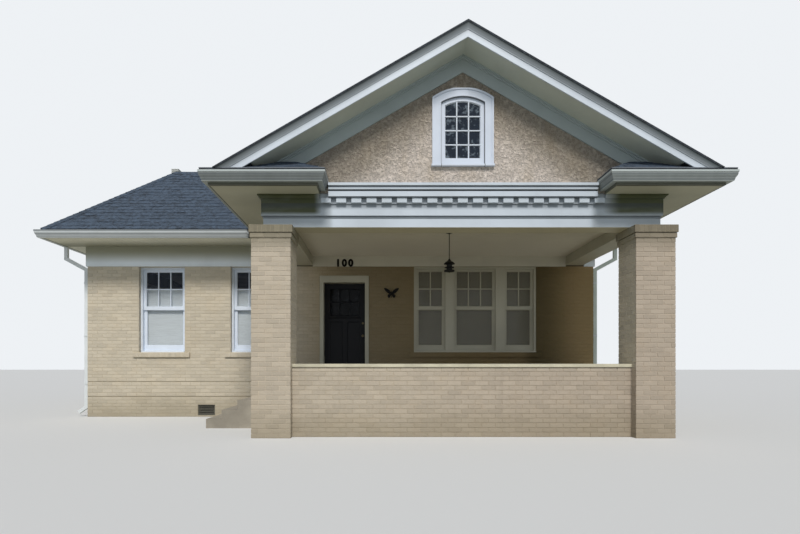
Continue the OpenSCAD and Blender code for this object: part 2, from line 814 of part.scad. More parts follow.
// Right-hand return, in distances from the middle line
module return_soffits() {
    color(trim) both_sides() translate([0, 0, porch_soffit_z])
        linear_extrude(height = porch_soffit_t) polygon([
            [fascia_in, -eave_front], [beam_half, -eave_front], [beam_half, beam_y],
            [return_gap + fascia_t, beam_y], [return_gap + fascia_t, return_y + fascia_t],
            [fascia_in, return_y + fascia_t]
        ]);
}
return_path = [
    [return_gap, gable_y], [return_gap, return_y], [porch_half, return_y],
    [porch_half, -eave_front]
];
module return_fascias() {
    color(trim) both_sides() moulding(return_path, board(porch_soffit_z, gable_edge_z - cover_t));
}
module porch_gutters() {
    color(trim) both_sides()
        moulding(return_path, gutter_section(porch_gutter_z, porch_gutter_back));
}
// Little hipped roofs on the returns: their edges lie over the gutters' lips, their bodies on
// the fascias, and they stop under the gable's slopes and round its rake boards
module return_roofs() {
    slope = 0.56;
    edge_h = 26;
    over = gutter_w - 20;
    foot = porch_gutter_z + gutter_h + 1;
    low = gable_edge_z - cover_t;
    run = gable_y - return_y + over;
    high = foot + edge_h + slope * run;
    under = slope_t + rake_soffit_t + 9;
    color(roofing) difference() {
        intersection() {
            both_sides() intersection() {
                along_x(return_gap - over, fascia_in) polygon([
                    [return_y - over, foot], [return_y - over, foot + edge_h], [gable_y, high],
                    [gable_y, low], [return_y, low], [return_y, foot]
                ]);
                along_y(return_y - over, gable_y) polygon([
                    [return_gap - over, foot], [return_gap - over, foot + edge_h],
                    [return_gap - over + run, high], [fascia_in, high], [fascia_in, low],
                    [return_gap, low], [return_gap, foot]
                ]);
            }
            translate([porch_cx, 0, 0]) along_y(return_y - over - e, gable_y + e) polygon([
                [-half_at(low - e, under), low - e], [0, peak_z - under],
                [half_at(low - e, under), low - e]
            ]);
        }
        translate([porch_cx, 0, 0]) along_y(gable_y - 66, gable_y + 2 * e)
            polygon(chevron(slope_t, slope_t + rake_soffit_t + rake_frieze_h + 5, rake_foot - 4));
    }
}

// Casing with its sill and a drip edge, proud of the stucco
module arched_casing() {
    proud = 28;
    foot = arch_foot - 12;
    color(trim) translate([porch_cx, 0, 0]) union() {
        along_y(gable_y - proud, gable_y) difference() {
            arch_outline(0, foot);
            arch_outline(arch_casing, foot - e);
        }
        along_y(gable_y - proud - 14, gable_y) difference() {
            arch_outline(-12, foot);
            arch_outline(16, foot - e);
        }
        along_y(gable_y - proud - 8, gable_y) difference() {
            arch_outline(arch_casing - 22, foot);
            arch_outline(arch_casing, foot - e);
        }
        along_x(-arch_w / 2 - 24, arch_w / 2 + 24) polygon([
            [gable_y, arch_sill_z], [gable_y - 62, arch_sill_z], [gable_y - 62, arch_foot - 12],
            [gable_y, arch_foot]
        ]);
    }
}
module arched_sash() {
    color(trim) translate([porch_cx, 0, 0]) along_y(gable_y, gable_y + 45) difference() {
        arch_outline(arch_casing, arch_foot);
        arch_outline(arch_casing + arch_stile, arch_foot + arch_stile + 30);
    }
}
module arched_glass() {
    color(glass) translate([porch_cx, 0, 0]) along_y(gable_y + 20, gable_y + 20 + glass_t)
        arch_outline(arch_casing + arch_stile, arch_foot + arch_stile + 30);
}

// Frame of a window of width w, with a sloping wooden sill, the wall's face being at y 0
frame_y = [12, 170];
wood_sill = 45;
module window_frame(w) {
    difference() {
        block([0, w], frame_y, [window_z0, window_z1]);
        block([frame_w, w - frame_w], [0, wall_t], [window_z0 - e, window_z1 - frame_w]);
    }
    along_x(frame_w, w - frame_w) polygon([
        [-12, window_z0], [frame_y[1], window_z0], [frame_y[1], window_z0 + wood_sill],
        [sash_y, window_z0 + wood_sill], [-12, window_z0 + wood_sill - 18]
    ]);
}
// Upper sash outside, lower sash inside, for a clear width w between the frame's boards
module sash_pair(w) {
    y0 = sash_y;
    top = window_z1 - frame_w;
    foot = window_z0 + wood_sill;
    difference() {
        block([0, w], [y0, y0 + sash_t], [meeting_z - meeting_h / 2, top]);
        block([stile_w, w - stile_w], [y0 - e, y0 + sash_t + e],
              [meeting_z + meeting_h / 2, top - stile_w + 10]);
    }
    difference() {
        block([0, w], [y0 + sash_t, y0 + 2 * sash_t], [foot, meeting_z + meeting_h / 2]);
        block([stile_w, w - stile_w], [y0 + sash_t - e, y0 + 2 * sash_t + e],
              [foot + bottom_rail, meeting_z - meeting_h / 2]);
    }
}
module glass_pair(w) {
    y0 = sash_y + (sash_t - glass_t) / 2;
    block([stile_w, w - stile_w], [y0, y0 + glass_t],
          [meeting_z + meeting_h / 2, window_z1 - frame_w - stile_w + 10]);
    block([stile_w, w - stile_w], [y0 + sash_t, y0 + sash_t + glass_t],
          [window_z0 + wood_sill + bottom_rail, meeting_z - meeting_h / 2]);
}
// The single windows stand back behind half a brick of reveal
clear_w = window_w - 2 * frame_w;
reveal = min(80, wall_t - frame_y[1]);
module window_frames() {
    color(trim) at_all_windows() translate([0, reveal, 0]) window_frame(window_w);
}
module window_sashes() {
    color(trim) at_all_windows() translate([frame_w, reveal, 0]) sash_pair(clear_w);
}
module window_glass() {
    color(glass) at_all_windows() translate([frame_w, reveal, 0]) glass_pair(clear_w);
}
// Shade of width w hung inside a frame from the height top
module shade(w, top) {
    block([4, w - 4], [frame_y[1] - 22, frame_y[1] - 16], [window_z0 + wood_sill, top]);
    block([0, w], [frame_y[1] - 28, frame_y[1] - 10], [top, top + 22]);
}
// Drawn over the lower part of the single windows
module window_shades() {
    color("#C3CDD6") at_all_windows() translate([frame_w, reveal, 0]) shade(clear_w, 2790);
}
module brick_sill(w) {
    along_x(-sill_over, w + sill_over) polygon([
        [-sill_d, window_z0 - sill_h], [sash_y, window_z0 - sill_h], [sash_y, window_z0],
        [-12, window_z0], [-sill_d, window_z0 - 16]
    ]);
}
module window_sills() {
    color(brick) {
        at_all_windows() brick_sill(window_w);
        translate([triple_x, 0, 0]) brick_sill(triple_w);
    }
}

// Three lights side by side, the middle one wider, between broad boards
light_w = [side_light, mid_light, side_light];
function light_x(i) = frame_w
    + (i == 0 ? 0 : light_w[0] + 2 * stile_w + mullion_w)
    + (i < 2 ? 0 : light_w[1] + 2 * stile_w + mullion_w);
module triple_frame() {
    color(trim) translate([triple_x, 0, 0]) {
        difference() {
            block([0, triple_w], frame_y, [window_z0, window_z1]);
            for (i = [0:2]) let (x = light_x(i))
                block([x, x + light_w[i] + 2 * stile_w], [0, wall_t],
                      [window_z0 + wood_sill, window_z1 - frame_w]);
        }
        along_x(0, triple_w) polygon([
            [frame_y[0], window_z0], [frame_y[0], window_z0 + wood_sill - 6],
            [-12, window_z0 + wood_sill - 18], [-12, window_z0]
        ]);
    }
}
module triple_sashes() {
    color(trim) translate([triple_x, 0, 0]) for (i = [0:2])
        translate([light_x(i), 0, 0]) sash_pair(light_w[i] + 2 * stile_w);
}
// Drawn over the whole height of the triple window
module porch_shades() {
    color("#C4C0B2") translate([triple_x, 0, 0]) for (i = [0:2])
        translate([light_x(i), 0, 0]) shade(light_w[i] + 2 * stile_w, window_z1 - frame_w - 22);
}
module triple_glass() {
    color(glass) translate([triple_x, 0, 0]) for (i = [0:2])
        translate([light_x(i), 0, 0]) glass_pair(light_w[i] + 2 * stile_w);
}

// Door leaf between its posts, its back flush with the wall's inner face
doorway_x = [door_x + door_post, door_right - door_post];
leaf_x = [doorway_x[0] + leaf_gap, doorway_x[1] - leaf_gap - 3];
leaf_y = [wall_t - leaf_t, wall_t];
leaf_z = [porch_z + threshold_t + leaf_gap, door_top - door_head];
hinge = [doorway_x[0] + 2, wall_t + 9];
hinge_z = [for (h = [0.12, 0.5, 0.88]) leaf_z[0] + h * (leaf_z[1] - leaf_z[0])];
knuckle = 34;
knuckle_pitch = knuckle + 0.3;
knuckle_r = 7;
strap_t = 4;
stop_w = 12;

// One knuckle of a hinge on the pin's line: the leaf's is the middle one, part 0
module knuckle_at(part) {
    translate([hinge[0], hinge[1], part * knuckle_pitch - knuckle / 2])
        cylinder(r = knuckle_r, h = knuckle);
}
// Posts and head with a stop in front of the leaf, and a knuckle over and under each of its own
module door_frame() {
    stop_y = leaf_y[0] - leaf_gap;
    head_z = leaf_z[1] + leaf_gap;
    color(trim) union() {
        difference() {
            block([door_x, door_right], [-15, wall_t], [porch_z, door_top]);
            block(doorway_x, [stop_y, wall_t + e], [porch_z - e, head_z]);
            block([doorway_x[0] + stop_w, doorway_x[1] - stop_w], [-15 - e, wall_t],
                  [porch_z - e, head_z - stop_w]);
        }
        for (z = hinge_z) translate([0, 0, z]) for (s = [-1, 1]) {
            span = [s * knuckle_pitch - knuckle / 2, s * knuckle_pitch + knuckle / 2];
            knuckle_at(s);
            block([hinge[0] - 36, hinge[0] - 2], [wall_t, wall_t + strap_t], span);
            block([hinge[0] - knuckle_r, hinge[0] - 2], [wall_t, hinge[1]], span);
        }
    }
}
module door_threshold() {
    color("#7A7468") block([doorway_x[0] + stop_w, doorway_x[1] - stop_w], [-15, wall_t],
                           [porch_z, porch_z + threshold_t]);
}
module front_door() {
    mid = (leaf_x[0] + leaf_x[1]) / 2;
    light = [floor_z + light_z[0], floor_z + light_z[1]];
    panel = [leaf_z[0] + 150, light[0] - 130];
    recess = 12;
    color("#121418") union() {
        difference() {
            block(leaf_x, leaf_y, leaf_z);
            block([leaf_x[0] + leaf_stile, leaf_x[1] - leaf_stile],
                  [leaf_y[0] - e, leaf_y[1] + e], light);
            for (x = [[leaf_x[0] + leaf_stile, mid - 50], [mid + 50, leaf_x[1] - leaf_stile]])
                for (y = [leaf_y[0] - e, leaf_y[1] - recess])
                    block(x, [y, y + recess + e], panel);
        }
        along_x(leaf_x[0] + leaf_stile - 30, leaf_x[1] - leaf_stile + 30) polygon([
            [leaf_y[0], light[0] - 60], [leaf_y[0] - 8, light[0] - 52],
            [leaf_y[0] - 12, light[0] - 34], [leaf_y[0] - 24, light[0] - 30],
            [leaf_y[0] - 26, light[0] - 16], [leaf_y[0], light[0] - 12]
        ]);
        for (z = hinge_z) translate([0, 0, z]) {
            knuckle_at(0);
            block([hinge[0], hinge[0] + 40], [wall_t, wall_t + strap_t],
                  [-knuckle / 2, knuckle / 2]);
        }
    }
}
module door_glass() {
    y = leaf_y[0] + (leaf_t - glass_t) / 2;
    color(glass) block([leaf_x[0] + leaf_stile, leaf_x[1] - leaf_stile], [y, y + glass_t],
                       [floor_z + light_z[0], floor_z + light_z[1]]);
}
// Knob on each side of the leaf and a small lock cylinder above
module door_knob() {
    color("#8A7A55") for (side = [0, 1]) translate([leaf_x[1] - 56, 0, floor_z + knob_h])
        translate([0, side == 0 ? leaf_y[0] : leaf_y[1], 0])
        rotate([side == 0 ? 90 : -90, 0, 0]) {
            rotate_extrude() polygon([
                [0, 0], [29, 0], [29, 4], [12, 7], [10, 28], [20, 34], [27, 44], [26, 54],
                [16, 60], [0, 61]
            ]);
            translate([0, side == 0 ? 277 : -277, 0]) cylinder(r = 24, h = 12);
        }
}

// Grilles of level slats in the crawl space's openings
module crawl_vents() {
    color("#5A5850") at_vents() {
        difference() {
            block([0, vent_w], [20, 60], vent_z);
            block([24, vent_w - 24], [0, 90], [vent_z[0] + 24, vent_z[1] - 24]);
        }
        for (i = [0:4]) let (z = vent_z[0] + 34 + i * 36)
            along_x(20, vent_w - 20) polygon([[24, z], [30, z], [56, z + 22], [50, z + 22]]);
    }
}

module place() {
    translate([-(edge_x[0] + edge_x[1]) / 2, -(edge_y[0] + edge_y[1]) / 2, 0]) children();
}

place() front_wall_left();
place() front_wall_over_door();
place() front_wall_right();
place() left_wall();
place() right_wall();
place() back_wall();
place() main_floor();
place() main_ceiling();
place() frieze_boards();
place() porch_frieze();
place() main_soffit();
place() main_fascia();
place() main_gutter();
place() downspout_left();
place() downspout_right();
place() main_roof();
place() roof_deck();
place() roof_vent();
place() gable_roof();
place() porch_foundation();
place() porch_low_wall();
place() porch_wall_cap();
place() porch_floor();
place() porch_steps();
place() pier_left();
place() pier_right();
place() front_beam();
place() side_beams();
place() bed_moulds();
place() dentils();
place() cornice();
place() porch_ceiling();
place() porch_lantern();
place() gable_wall();
place() rake_fascia();
place() rake_soffit();
place() rake_frieze();
place() return_soffits();
place() return_fascias();
place() return_roofs();
place() porch_gutters();
place() arched_casing();
place() arched_sash();
place() arched_glass();
place() window_frames();
place() window_sashes();
place() window_glass();
place() window_shades();
place() window_sills();
place() triple_frame();
place() triple_sashes();
place() triple_glass();
place() porch_shades();
place() door_frame();
place() door_threshold();
place() front_door();
place() door_glass();
place() door_knob();
place() crawl_vents();
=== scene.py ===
"""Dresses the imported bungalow: painted brick laid course by course, laminated shingles, window and
door joinery, and the paint, stucco, metal, glass and concrete of its finishes."""
from __future__ import annotations

import logging
import math
import random
from dataclasses import dataclass
from enum import Enum
from functools import cached_property
from typing import Any, Callable, Iterable, Iterator, Sequence

import bmesh
import bpy
from mathutils import Matrix, Vector


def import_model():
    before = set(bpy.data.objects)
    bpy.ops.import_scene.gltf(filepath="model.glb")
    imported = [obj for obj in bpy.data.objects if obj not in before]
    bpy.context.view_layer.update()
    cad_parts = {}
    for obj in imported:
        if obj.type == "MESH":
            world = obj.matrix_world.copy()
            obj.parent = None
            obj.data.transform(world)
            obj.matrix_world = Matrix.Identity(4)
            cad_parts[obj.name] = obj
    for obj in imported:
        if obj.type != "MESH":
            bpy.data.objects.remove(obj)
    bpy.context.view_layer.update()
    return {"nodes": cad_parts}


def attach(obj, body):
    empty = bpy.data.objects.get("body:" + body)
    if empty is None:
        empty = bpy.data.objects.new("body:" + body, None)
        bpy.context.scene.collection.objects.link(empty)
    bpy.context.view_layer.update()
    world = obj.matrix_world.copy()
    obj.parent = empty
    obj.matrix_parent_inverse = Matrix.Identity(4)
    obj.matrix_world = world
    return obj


log = logging.getLogger("bungalow")
Pair = tuple[float, float]
Triple = tuple[float, float, float]
Rect = tuple[float, float, float, float]
Thing = bpy.types.Object
Builder = bmesh.types.BMesh
Inputs = dict[str | int, Any]

# The plan in millimetres: x from the brick body's left side, y from its front towards the back.
PLAN_CENTRE = (5490.0, 2575.0)
WIDTH, DEPTH = 10980.0, 8400.0
WINDOW_W, WINDOW_FOOT, WINDOW_HEAD = 1004.0, 1400.0, 3259.0
TRIPLE_X, TRIPLE_W = 7087.0, 2657.0
PIERS, PIER_W, PIER_Y = (4365.0, 10305.0), 600.0, -3374.0
PEAK, GABLE_PITCH = (7635.0, 6145.0), 0.577
PORCH_MIDDLE = (PEAK[0] - PLAN_CENTRE[0]) / 1000


def at(x: float, y: float, z: float) -> Vector:
    """A point of the plan, in millimetres, as a point of the frame in metres."""
    return Vector(((x - PLAN_CENTRE[0]) / 1000, (y - PLAN_CENTRE[1]) / 1000, z / 1000))


def tint(red: float, green: float, blue: float, factor: float = 1.0) -> Rect:
    """A colour as it looks on screen, 0 to 255, as linear values for a shader.

    Args:
        red: its red channel.
        green: its green channel.
        blue: its blue channel.
        factor: how much darker or lighter it gets.

    Returns:
        The linear colour with an alpha of 1.
    """
    shares = (c / 255 for c in (red, green, blue))
    return (*((c / 12.92 if c <= 0.04045 else ((c + 0.055) / 1.055) ** 2.4) * factor
              for c in shares), 1.0)


def math_node(operation: str, swapped: bool = False) -> Callable[[Value, Any], Value]:
    """Make a method that adds one Math node.

    Args:
        operation: the node's operation.
        swapped: whether the other operand comes first, as in 1 - mask.

    Returns:
        The method.
    """
    def method(self: Value, other: Any) -> Value:
        """The result of the operation."""
        a, b = (other, self) if swapped else (self, other)
        return self.graph.value("ShaderNodeMath", {0: a, 1: b}, operation=operation)
    return method


class Value:
    """A node's output that Python's arithmetic extends with Math nodes."""
    __add__ = __radd__ = math_node("ADD")
    __sub__, __rsub__ = math_node("SUBTRACT"), math_node("SUBTRACT", swapped=True)
    __mul__ = __rmul__ = math_node("MULTIPLY")
    __pow__, most = math_node("POWER"), math_node("MAXIMUM")

    def __init__(self, graph: Graph, socket: bpy.types.NodeSocket) -> None:
        """Keep the socket and the graph that it lies in."""
        self.graph, self.socket = graph, socket

    def __abs__(self) -> Value:
        """The value without its sign."""
        return self.graph.value("ShaderNodeMath", {0: self}, operation="ABSOLUTE")

    def rim(self, period: float) -> Value:
        """Rise from 0 in the middle of each period to 1 at its ends.

        Args:
            period: how long a period is.

        Returns:
            The rise.
        """
        share = self.graph.value("ShaderNodeMath", {0: self, 1: period}, operation="DIVIDE")
        off = self.graph.value("ShaderNodeMath", {0: share}, operation="FRACT") - 0.5
        return off * off * 4.0

    def above(self, low: float, high: float) -> Value:
        """0 below low, 1 above high and a smooth step between them."""
        return self.graph.value("ShaderNodeMapRange", {0: self, 1: low, 2: high},
                                interpolation_type="SMOOTHSTEP")

    def below(self, low: float, high: float) -> Value:
        """1 below low, 0 above high and a smooth step between them."""
        return 1.0 - self.above(low, high)

    def within(self, low: float, full: float, fade: float, high: float) -> Value:
        """1 from full to fade, 0 below low and above high."""
        return self.above(low, full) * self.below(fade, high)

    def over(self, colour: Any, factor: Any) -> Value:
        """This colour with a share of another one laid over it."""
        return self.graph.mix(self, colour, factor)

    def dulled(self, colour: Triple, factor: Any) -> Value:
        """This colour with a share of it multiplied by another one."""
        return self.graph.mix(self, (*colour, 1.0), factor, "MULTIPLY")


class Graph:
    """A node tree with one way of adding nodes to it."""

    def __init__(self, tree: bpy.types.NodeTree) -> None:
        """Keep the tree that nodes are added to."""
        self.tree = tree

    def node(self, kind: str, inputs: Inputs | None = None, **settings: Any) -> bpy.types.Node:
        """Add a node.

        Args:
            kind: the node's type.
            inputs: values or links by socket name or number.
            settings: properties of the node, set before its sockets.

        Returns:
            The new node.
        """
        made = self.tree.nodes.new(kind)
        for name, value in settings.items():
            setattr(made, name, value)
        for name, value in (inputs or {}).items():
            if isinstance(value, Value):
                self.tree.links.new(value.socket, made.inputs[name])
            else:
                made.inputs[name].default_value = value
        return made

    def value(self, kind: str, inputs: Inputs | None = None, out: str | int = 0,
              **settings: Any) -> Value:
        """Add a node and take one of its outputs."""
        return Value(self, self.node(kind, inputs, **settings).outputs[out])

    @cached_property
    def place(self) -> Value:
        """Object coordinates, in metres."""
        return self.value("ShaderNodeTexCoord", out="Object")

    @cached_property
    def axes(self) -> list[Value]:
        """The three Object coordinates one by one."""
        split = self.node("ShaderNodeSeparateXYZ", {0: self.place})
        return [Value(self, socket) for socket in split.outputs]

    def below_gable(self, peak: float, pitch: float) -> Value:
        """How far a point lies below the two slopes of a gable over the porch's middle."""
        x, _, z = self.axes
        return peak - abs(x - PORCH_MIDDLE) * pitch - z

    def tone(self) -> Value:
        """The number from 0 to 1 that each brick, tab or board has of its own."""
        return self.value("ShaderNodeAttribute", out="Fac", attribute_name="tone")

    def noise(self, scale: float | Triple, detail: float = 3.0, roughness: float = 0.55) -> Value:
        """Cloudy noise about 0.5.

        Args:
            scale: how fine it is, or how fine along each axis where it runs one way.
            detail: its octaves.
            roughness: how strong the finer octaves are.

        Returns:
            The noise.
        """
        place = self.place
        if isinstance(scale, tuple):
            place = self.value("ShaderNodeMapping", {"Vector": place, "Scale": scale})
            scale = 1.0
        return self.value("ShaderNodeTexNoise", {"Vector": place, "Scale": scale, "Detail": detail,
                                                 "Roughness": roughness}, "Fac")

    def cells(self, scale: float) -> Value:
        """Distance from the middles of scattered cells."""
        return self.value("ShaderNodeTexVoronoi", {"Vector": self.place, "Scale": scale})

    def mix(self, a: Any, b: Any, factor: Any, kind: str = "MIX") -> Value:
        """Mix two colours."""
        return self.value("ShaderNodeMix", {0: factor, 6: a, 7: b}, 2, data_type="RGBA",
                          blend_type=kind)

    def bump(self, height: Value, depth: float, strength: float = 1.0) -> Value:
        """A normal from a height, for a relief of that depth in metres."""
        return self.value("ShaderNodeBump", {"Height": height, "Distance": depth,
                                             "Strength": strength})


Patterns = tuple[Value, Value, Value]


@dataclass(frozen=True)
class Finish:
    """A surface's look: its colour on screen from 0 to 255, how rough it is and its sheen."""
    name: str
    colour: Triple
    roughness: float = 0.6
    sheen: float = 0.5

    def material(self) -> bpy.types.Material:
        """Make the material, the first time that it is asked for.

        Returns:
            The material.
        """
        made = bpy.data.materials.get(self.name)
        if made:
            return made
        made = bpy.data.materials.new(self.name)
        made.use_nodes = True
        made.node_tree.nodes.clear()
        graph = Graph(made.node_tree)
        colour, roughness, normal = self.patterns(graph)
        graph.node("ShaderNodeOutputMaterial", {"Surface": graph.value("ShaderNodeBsdfPrincipled", {
            "Base Color": self.aged_and_shaded(graph, colour), "Roughness": roughness, "Normal": normal,
            "Specular IOR Level": self.sheen, **self.constants()})})
        return made

    def patterns(self, graph: Graph) -> Patterns:
        """Make this finish's patterns.

        Args:
            graph: the material's tree.

        Returns:
            Colour, roughness and normal.
        """
        raise NotImplementedError

    def aged_and_shaded(self, graph: Graph, colour: Value) -> Value:
        """The colour with its place's marks: dirt, and painted light and shade."""
        return colour

    def constants(self) -> dict[str, float]:
        """Values of further sockets of the shader."""
        return {}

    def shade(self, factor: float) -> Rect:
        """The finish's colour, darker or lighter."""
        return tint(*self.colour, factor)


@dataclass(frozen=True)
class PaintedBrick(Finish):
    """Old paint over brick: each brick a little different, soiled near the ground, with painted
    shade in the porch, on the piers and under the friezes."""
    soil: Triple = (128, 117, 92)
    porch_shadow_tint: Triple = (150, 125, 80)
    contrast: float = 1.0

    def patterns(self, graph: Graph) -> Patterns:
        """Mottle each brick, warm the walls in patches, streak them and chip their paint.

        Args:
            graph: the material's tree.

        Returns:
            Colour, roughness and normal.
        """
        tone, fine = graph.tone(), graph.noise(44.0, 5.0, 0.68)
        depth = (tone * 0.34 + fine * 0.62 + graph.noise(0.8, 4.0) * 0.34 - 0.18).above(0.05, 0.95)
        colour = graph.mix(self.shade(1.08), self.shade(1.0 - 0.22 * self.contrast), depth)
        colour = colour.over(tint(206, 188, 158), graph.noise(2.6, 2.0).above(0.45, 0.75) * 0.16)
        streak = graph.noise((7.0, 7.0, 0.8), 4.0)
        colour = colour.over(self.shade(0.72), streak.above(0.56, 0.8) * 0.26)
        chips = fine.above(0.66, 0.74) * tone.above(0.5, 0.9) * 0.45
        pits = graph.noise(150.0, 3.0, 0.6)
        return (colour.over(tint(158, 136, 106), chips), 0.68 + fine * 0.25,
                graph.bump(fine * 0.7 + pits * 0.5, 0.0035, 0.9))

    def aged_and_shaded(self, graph: Graph, colour: Value) -> Value:
        """Paint shade in the porch, on the piers and under the friezes, and soil the walls' feet.

        Args:
            graph: the material's tree.
            colour: the colour so far.

        Returns:
            The colour with those marks.
        """
        x, y, z = graph.axes
        right_pier = x.above(4.93, 4.99) * z.below(0.95, 1.15)
        porch = (x.above(-1.35, -0.2) * (1.0 - right_pier) * y.within(-5.36, -5.0, -2.56, -2.53)
                 * z.below(3.2, 3.5))
        # Painted shade: porch walls darker and warmer, more so away from the open left side.
        colour = colour.over(tint(*self.porch_shadow_tint), porch * (x.above(-0.8, 3.2) * 0.38 + 0.54))
        deep = (x.above(-0.9, 0.4) * 0.55 + x.above(3.9, 4.2) * 0.45) * x.below(4.3, 5.35)
        street = y.below(-5.945, -5.925).most(y.below(-5.80, -5.75) * z.below(1.0, 1.2))
        over_windows = y.above(-2.75, -2.7) * z.above(3.262, 3.272)
        capitals = y.below(-5.33, -5.3) * z.above(2.8, 3.24)
        # Painted shade: deep in the porch, on the piers, and in a line under the friezes.
        for shadow, where in (((0.32, 0.33, 0.25), porch * deep),
                              ((0.75, 0.71, 0.71), street * (x.above(0.0, 4.0) * 0.45 + 0.55)),
                              ((0.30, 0.31, 0.31), over_windows),
                              ((0.46, 0.47, 0.42), capitals)):
            colour = colour.dulled(shadow, where)
        splashed = (z + (graph.noise(0.8, 4.0) - 0.5) * 0.7).below(0.05, 0.62)
        return colour.over(tint(*self.soil), splashed * 0.4)


@dataclass(frozen=True)
class TrimPaint(Finish):
    """Brushed or rolled paint on boards, faintly soiled, with seams where boards meet."""
    seam_axis: int = -1
    seam_pitch: float = 0.1

    def patterns(self, graph: Graph) -> Patterns:
        """Lay brush marks, faint dirt and the seams between boards.

        Args:
            graph: the material's tree.

        Returns:
            Colour, roughness and normal.
        """
        cloud, dirt = graph.noise(1.3, 4.0), graph.noise((5.0, 5.0, 1.2), 5.0, 0.65)
        colour = graph.mix(self.shade(1.04), self.shade(0.90), cloud.above(0.3, 0.75))
        colour = colour.over(self.shade(0.62), dirt.above(0.55, 0.85) * 0.25)
        relief = graph.noise((2.0, 60.0, 60.0), 2.0) * 0.3 + graph.noise(90.0, 2.0) * 0.3
        if self.seam_axis >= 0:
            line = graph.axes[self.seam_axis].rim(self.seam_pitch).above(0.86, 0.97)
            colour = colour.over(self.shade(0.55), line * 0.55)
            relief = relief * 0.25 - line * 3.0
        return colour, self.roughness + cloud * 0.15, graph.bump(relief, 0.0012, 0.7)


@dataclass(frozen=True)
class MouldedPaint(TrimPaint):
    """Trim paint with painted shade in bands along one axis, in the grooves of a moulding.

    Each groove is its foot, where it is darkest, its head and its strength.
    """
    axis: int = 2
    grooves: tuple[Rect, ...] = ()
    shade_and_grime: Triple = (46, 54, 60)

    def aged_and_shaded(self, graph: Graph, colour: Value) -> Value:
        """Paint shade into each groove.

        Args:
            graph: the material's tree.
            colour: the colour so far.

        Returns:
            The colour with those marks.
        """
        for foot, full, head, strength in self.grooves:
            inside = graph.axes[self.axis].within(foot, full, head - 0.002, head)
            # Painted shade in the groove.
            colour = colour.over(tint(*self.shade_and_grime), inside * strength)
        return colour


@dataclass(frozen=True)
class ArchPaint(TrimPaint):
    """Trim paint with a painted shade line where an arched sash meets its casing."""
    centre: float = 4.622
    jamb: float = 0.338
    radius: float = 0.671

    def aged_and_shaded(self, graph: Graph, colour: Value) -> Value:
        """Paint the shade line up both jambs and round the arch.

        Args:
            graph: the material's tree.
            colour: the colour so far.

        Returns:
            The colour with those marks.
        """
        x, z = graph.axes[0] - PORCH_MIDDLE, (graph.axes[2] - self.centre).most(0.0)
        (upright, between), (bow, under) = (
            (far.within(edge - 0.010, edge - 0.006, edge + 0.002, edge + 0.006),
             far.below(edge, edge + 0.004))
            for far, edge in ((abs(x), self.jamb), ((x * x + z * z) ** 0.5, self.radius)))
        # Painted shade in the gap between the sash and its casing.
        return colour.over(self.shade(0.16), (upright * under).most(bow * between) * 0.8)


@dataclass(frozen=True)
class EavesPaint(TrimPaint):
    """Trim paint blended into a second tone across a range: painted shade high up under the
    eaves, and painted light on the porch ceiling.
    """
    light_and_shade: Triple = (158, 158, 140)
    foot: float = 3.33
    head: float = 3.60
    axis: int = 2
    stop: float = 99.0
    curve: float = 0.7

    def aged_and_shaded(self, graph: Graph, colour: Value) -> Value:
        """Blend the paint into that tone from the foot of the range to its head.

        Args:
            graph: the material's tree.
            colour: the colour so far.

        Returns:
            The colour with those marks.
        """
        # Painted shade under the eaves; on the porch ceiling the tone is lighter, painted light.
        along = graph.axes[self.axis]
        shading = along.above(self.foot, self.head) ** self.curve
        return colour.over(tint(*self.light_and_shade), shading * along.below(self.stop, self.stop + 0.05))


@dataclass(frozen=True)
class BeamPaint(MouldedPaint):
    """Trim paint with painted shadow on its ends where the cornice returns overhang it, and a
    warm painted shade on its underside.
    """
    return_shadow: Triple = (62, 68, 36)
    under: Triple = (192, 185, 158)

    def aged_and_shaded(self, graph: Graph, colour: Value) -> Value:
        """Paint shadow on the two ends under the returns and warm shade on the underside.

        Args:
            graph: the material's tree.
            colour: the colour so far.

        Returns:
            The colour with those marks.
        """
        x, z = graph.axes[0] - PORCH_MIDDLE, graph.axes[2]
        end = (0.0 - x).above(2.13, 2.33).most(x.above(2.05, 2.5))
        near = (x * x).above(2.00 ** 2, 2.09 ** 2) * 0.24
        wisp = graph.noise((1.5, 1.5, 6.0), 4.0) * 0.4 + 0.8
        # Painted shadow of the returns, softer at the edges of the ends.
        colour = colour.over(tint(*self.return_shadow),
                             (end * (z.above(3.44, 3.54) * 0.92 + 0.08)).most(near) * wisp)
        # Painted shade: the underside in the porch's warm shade tone.
        return super().aged_and_shaded(graph, colour.over(tint(*self.under), z.below(3.2922, 3.294)))


@dataclass(frozen=True)
class RakePaint(TrimPaint):
    """Trim paint on the gable's rake boards, with painted shadow under the edge of the shingles."""
    shadow: Triple = (52, 62, 64)

    def aged_and_shaded(self, graph: Graph, colour: Value) -> Value:
        """Paint shadow that deepens towards the line of the two slopes."""
        drop = graph.below_gable(PEAK[1] / 1000, GABLE_PITCH)
        return colour.over(tint(*self.shadow), drop.below(0.01, 0.19))


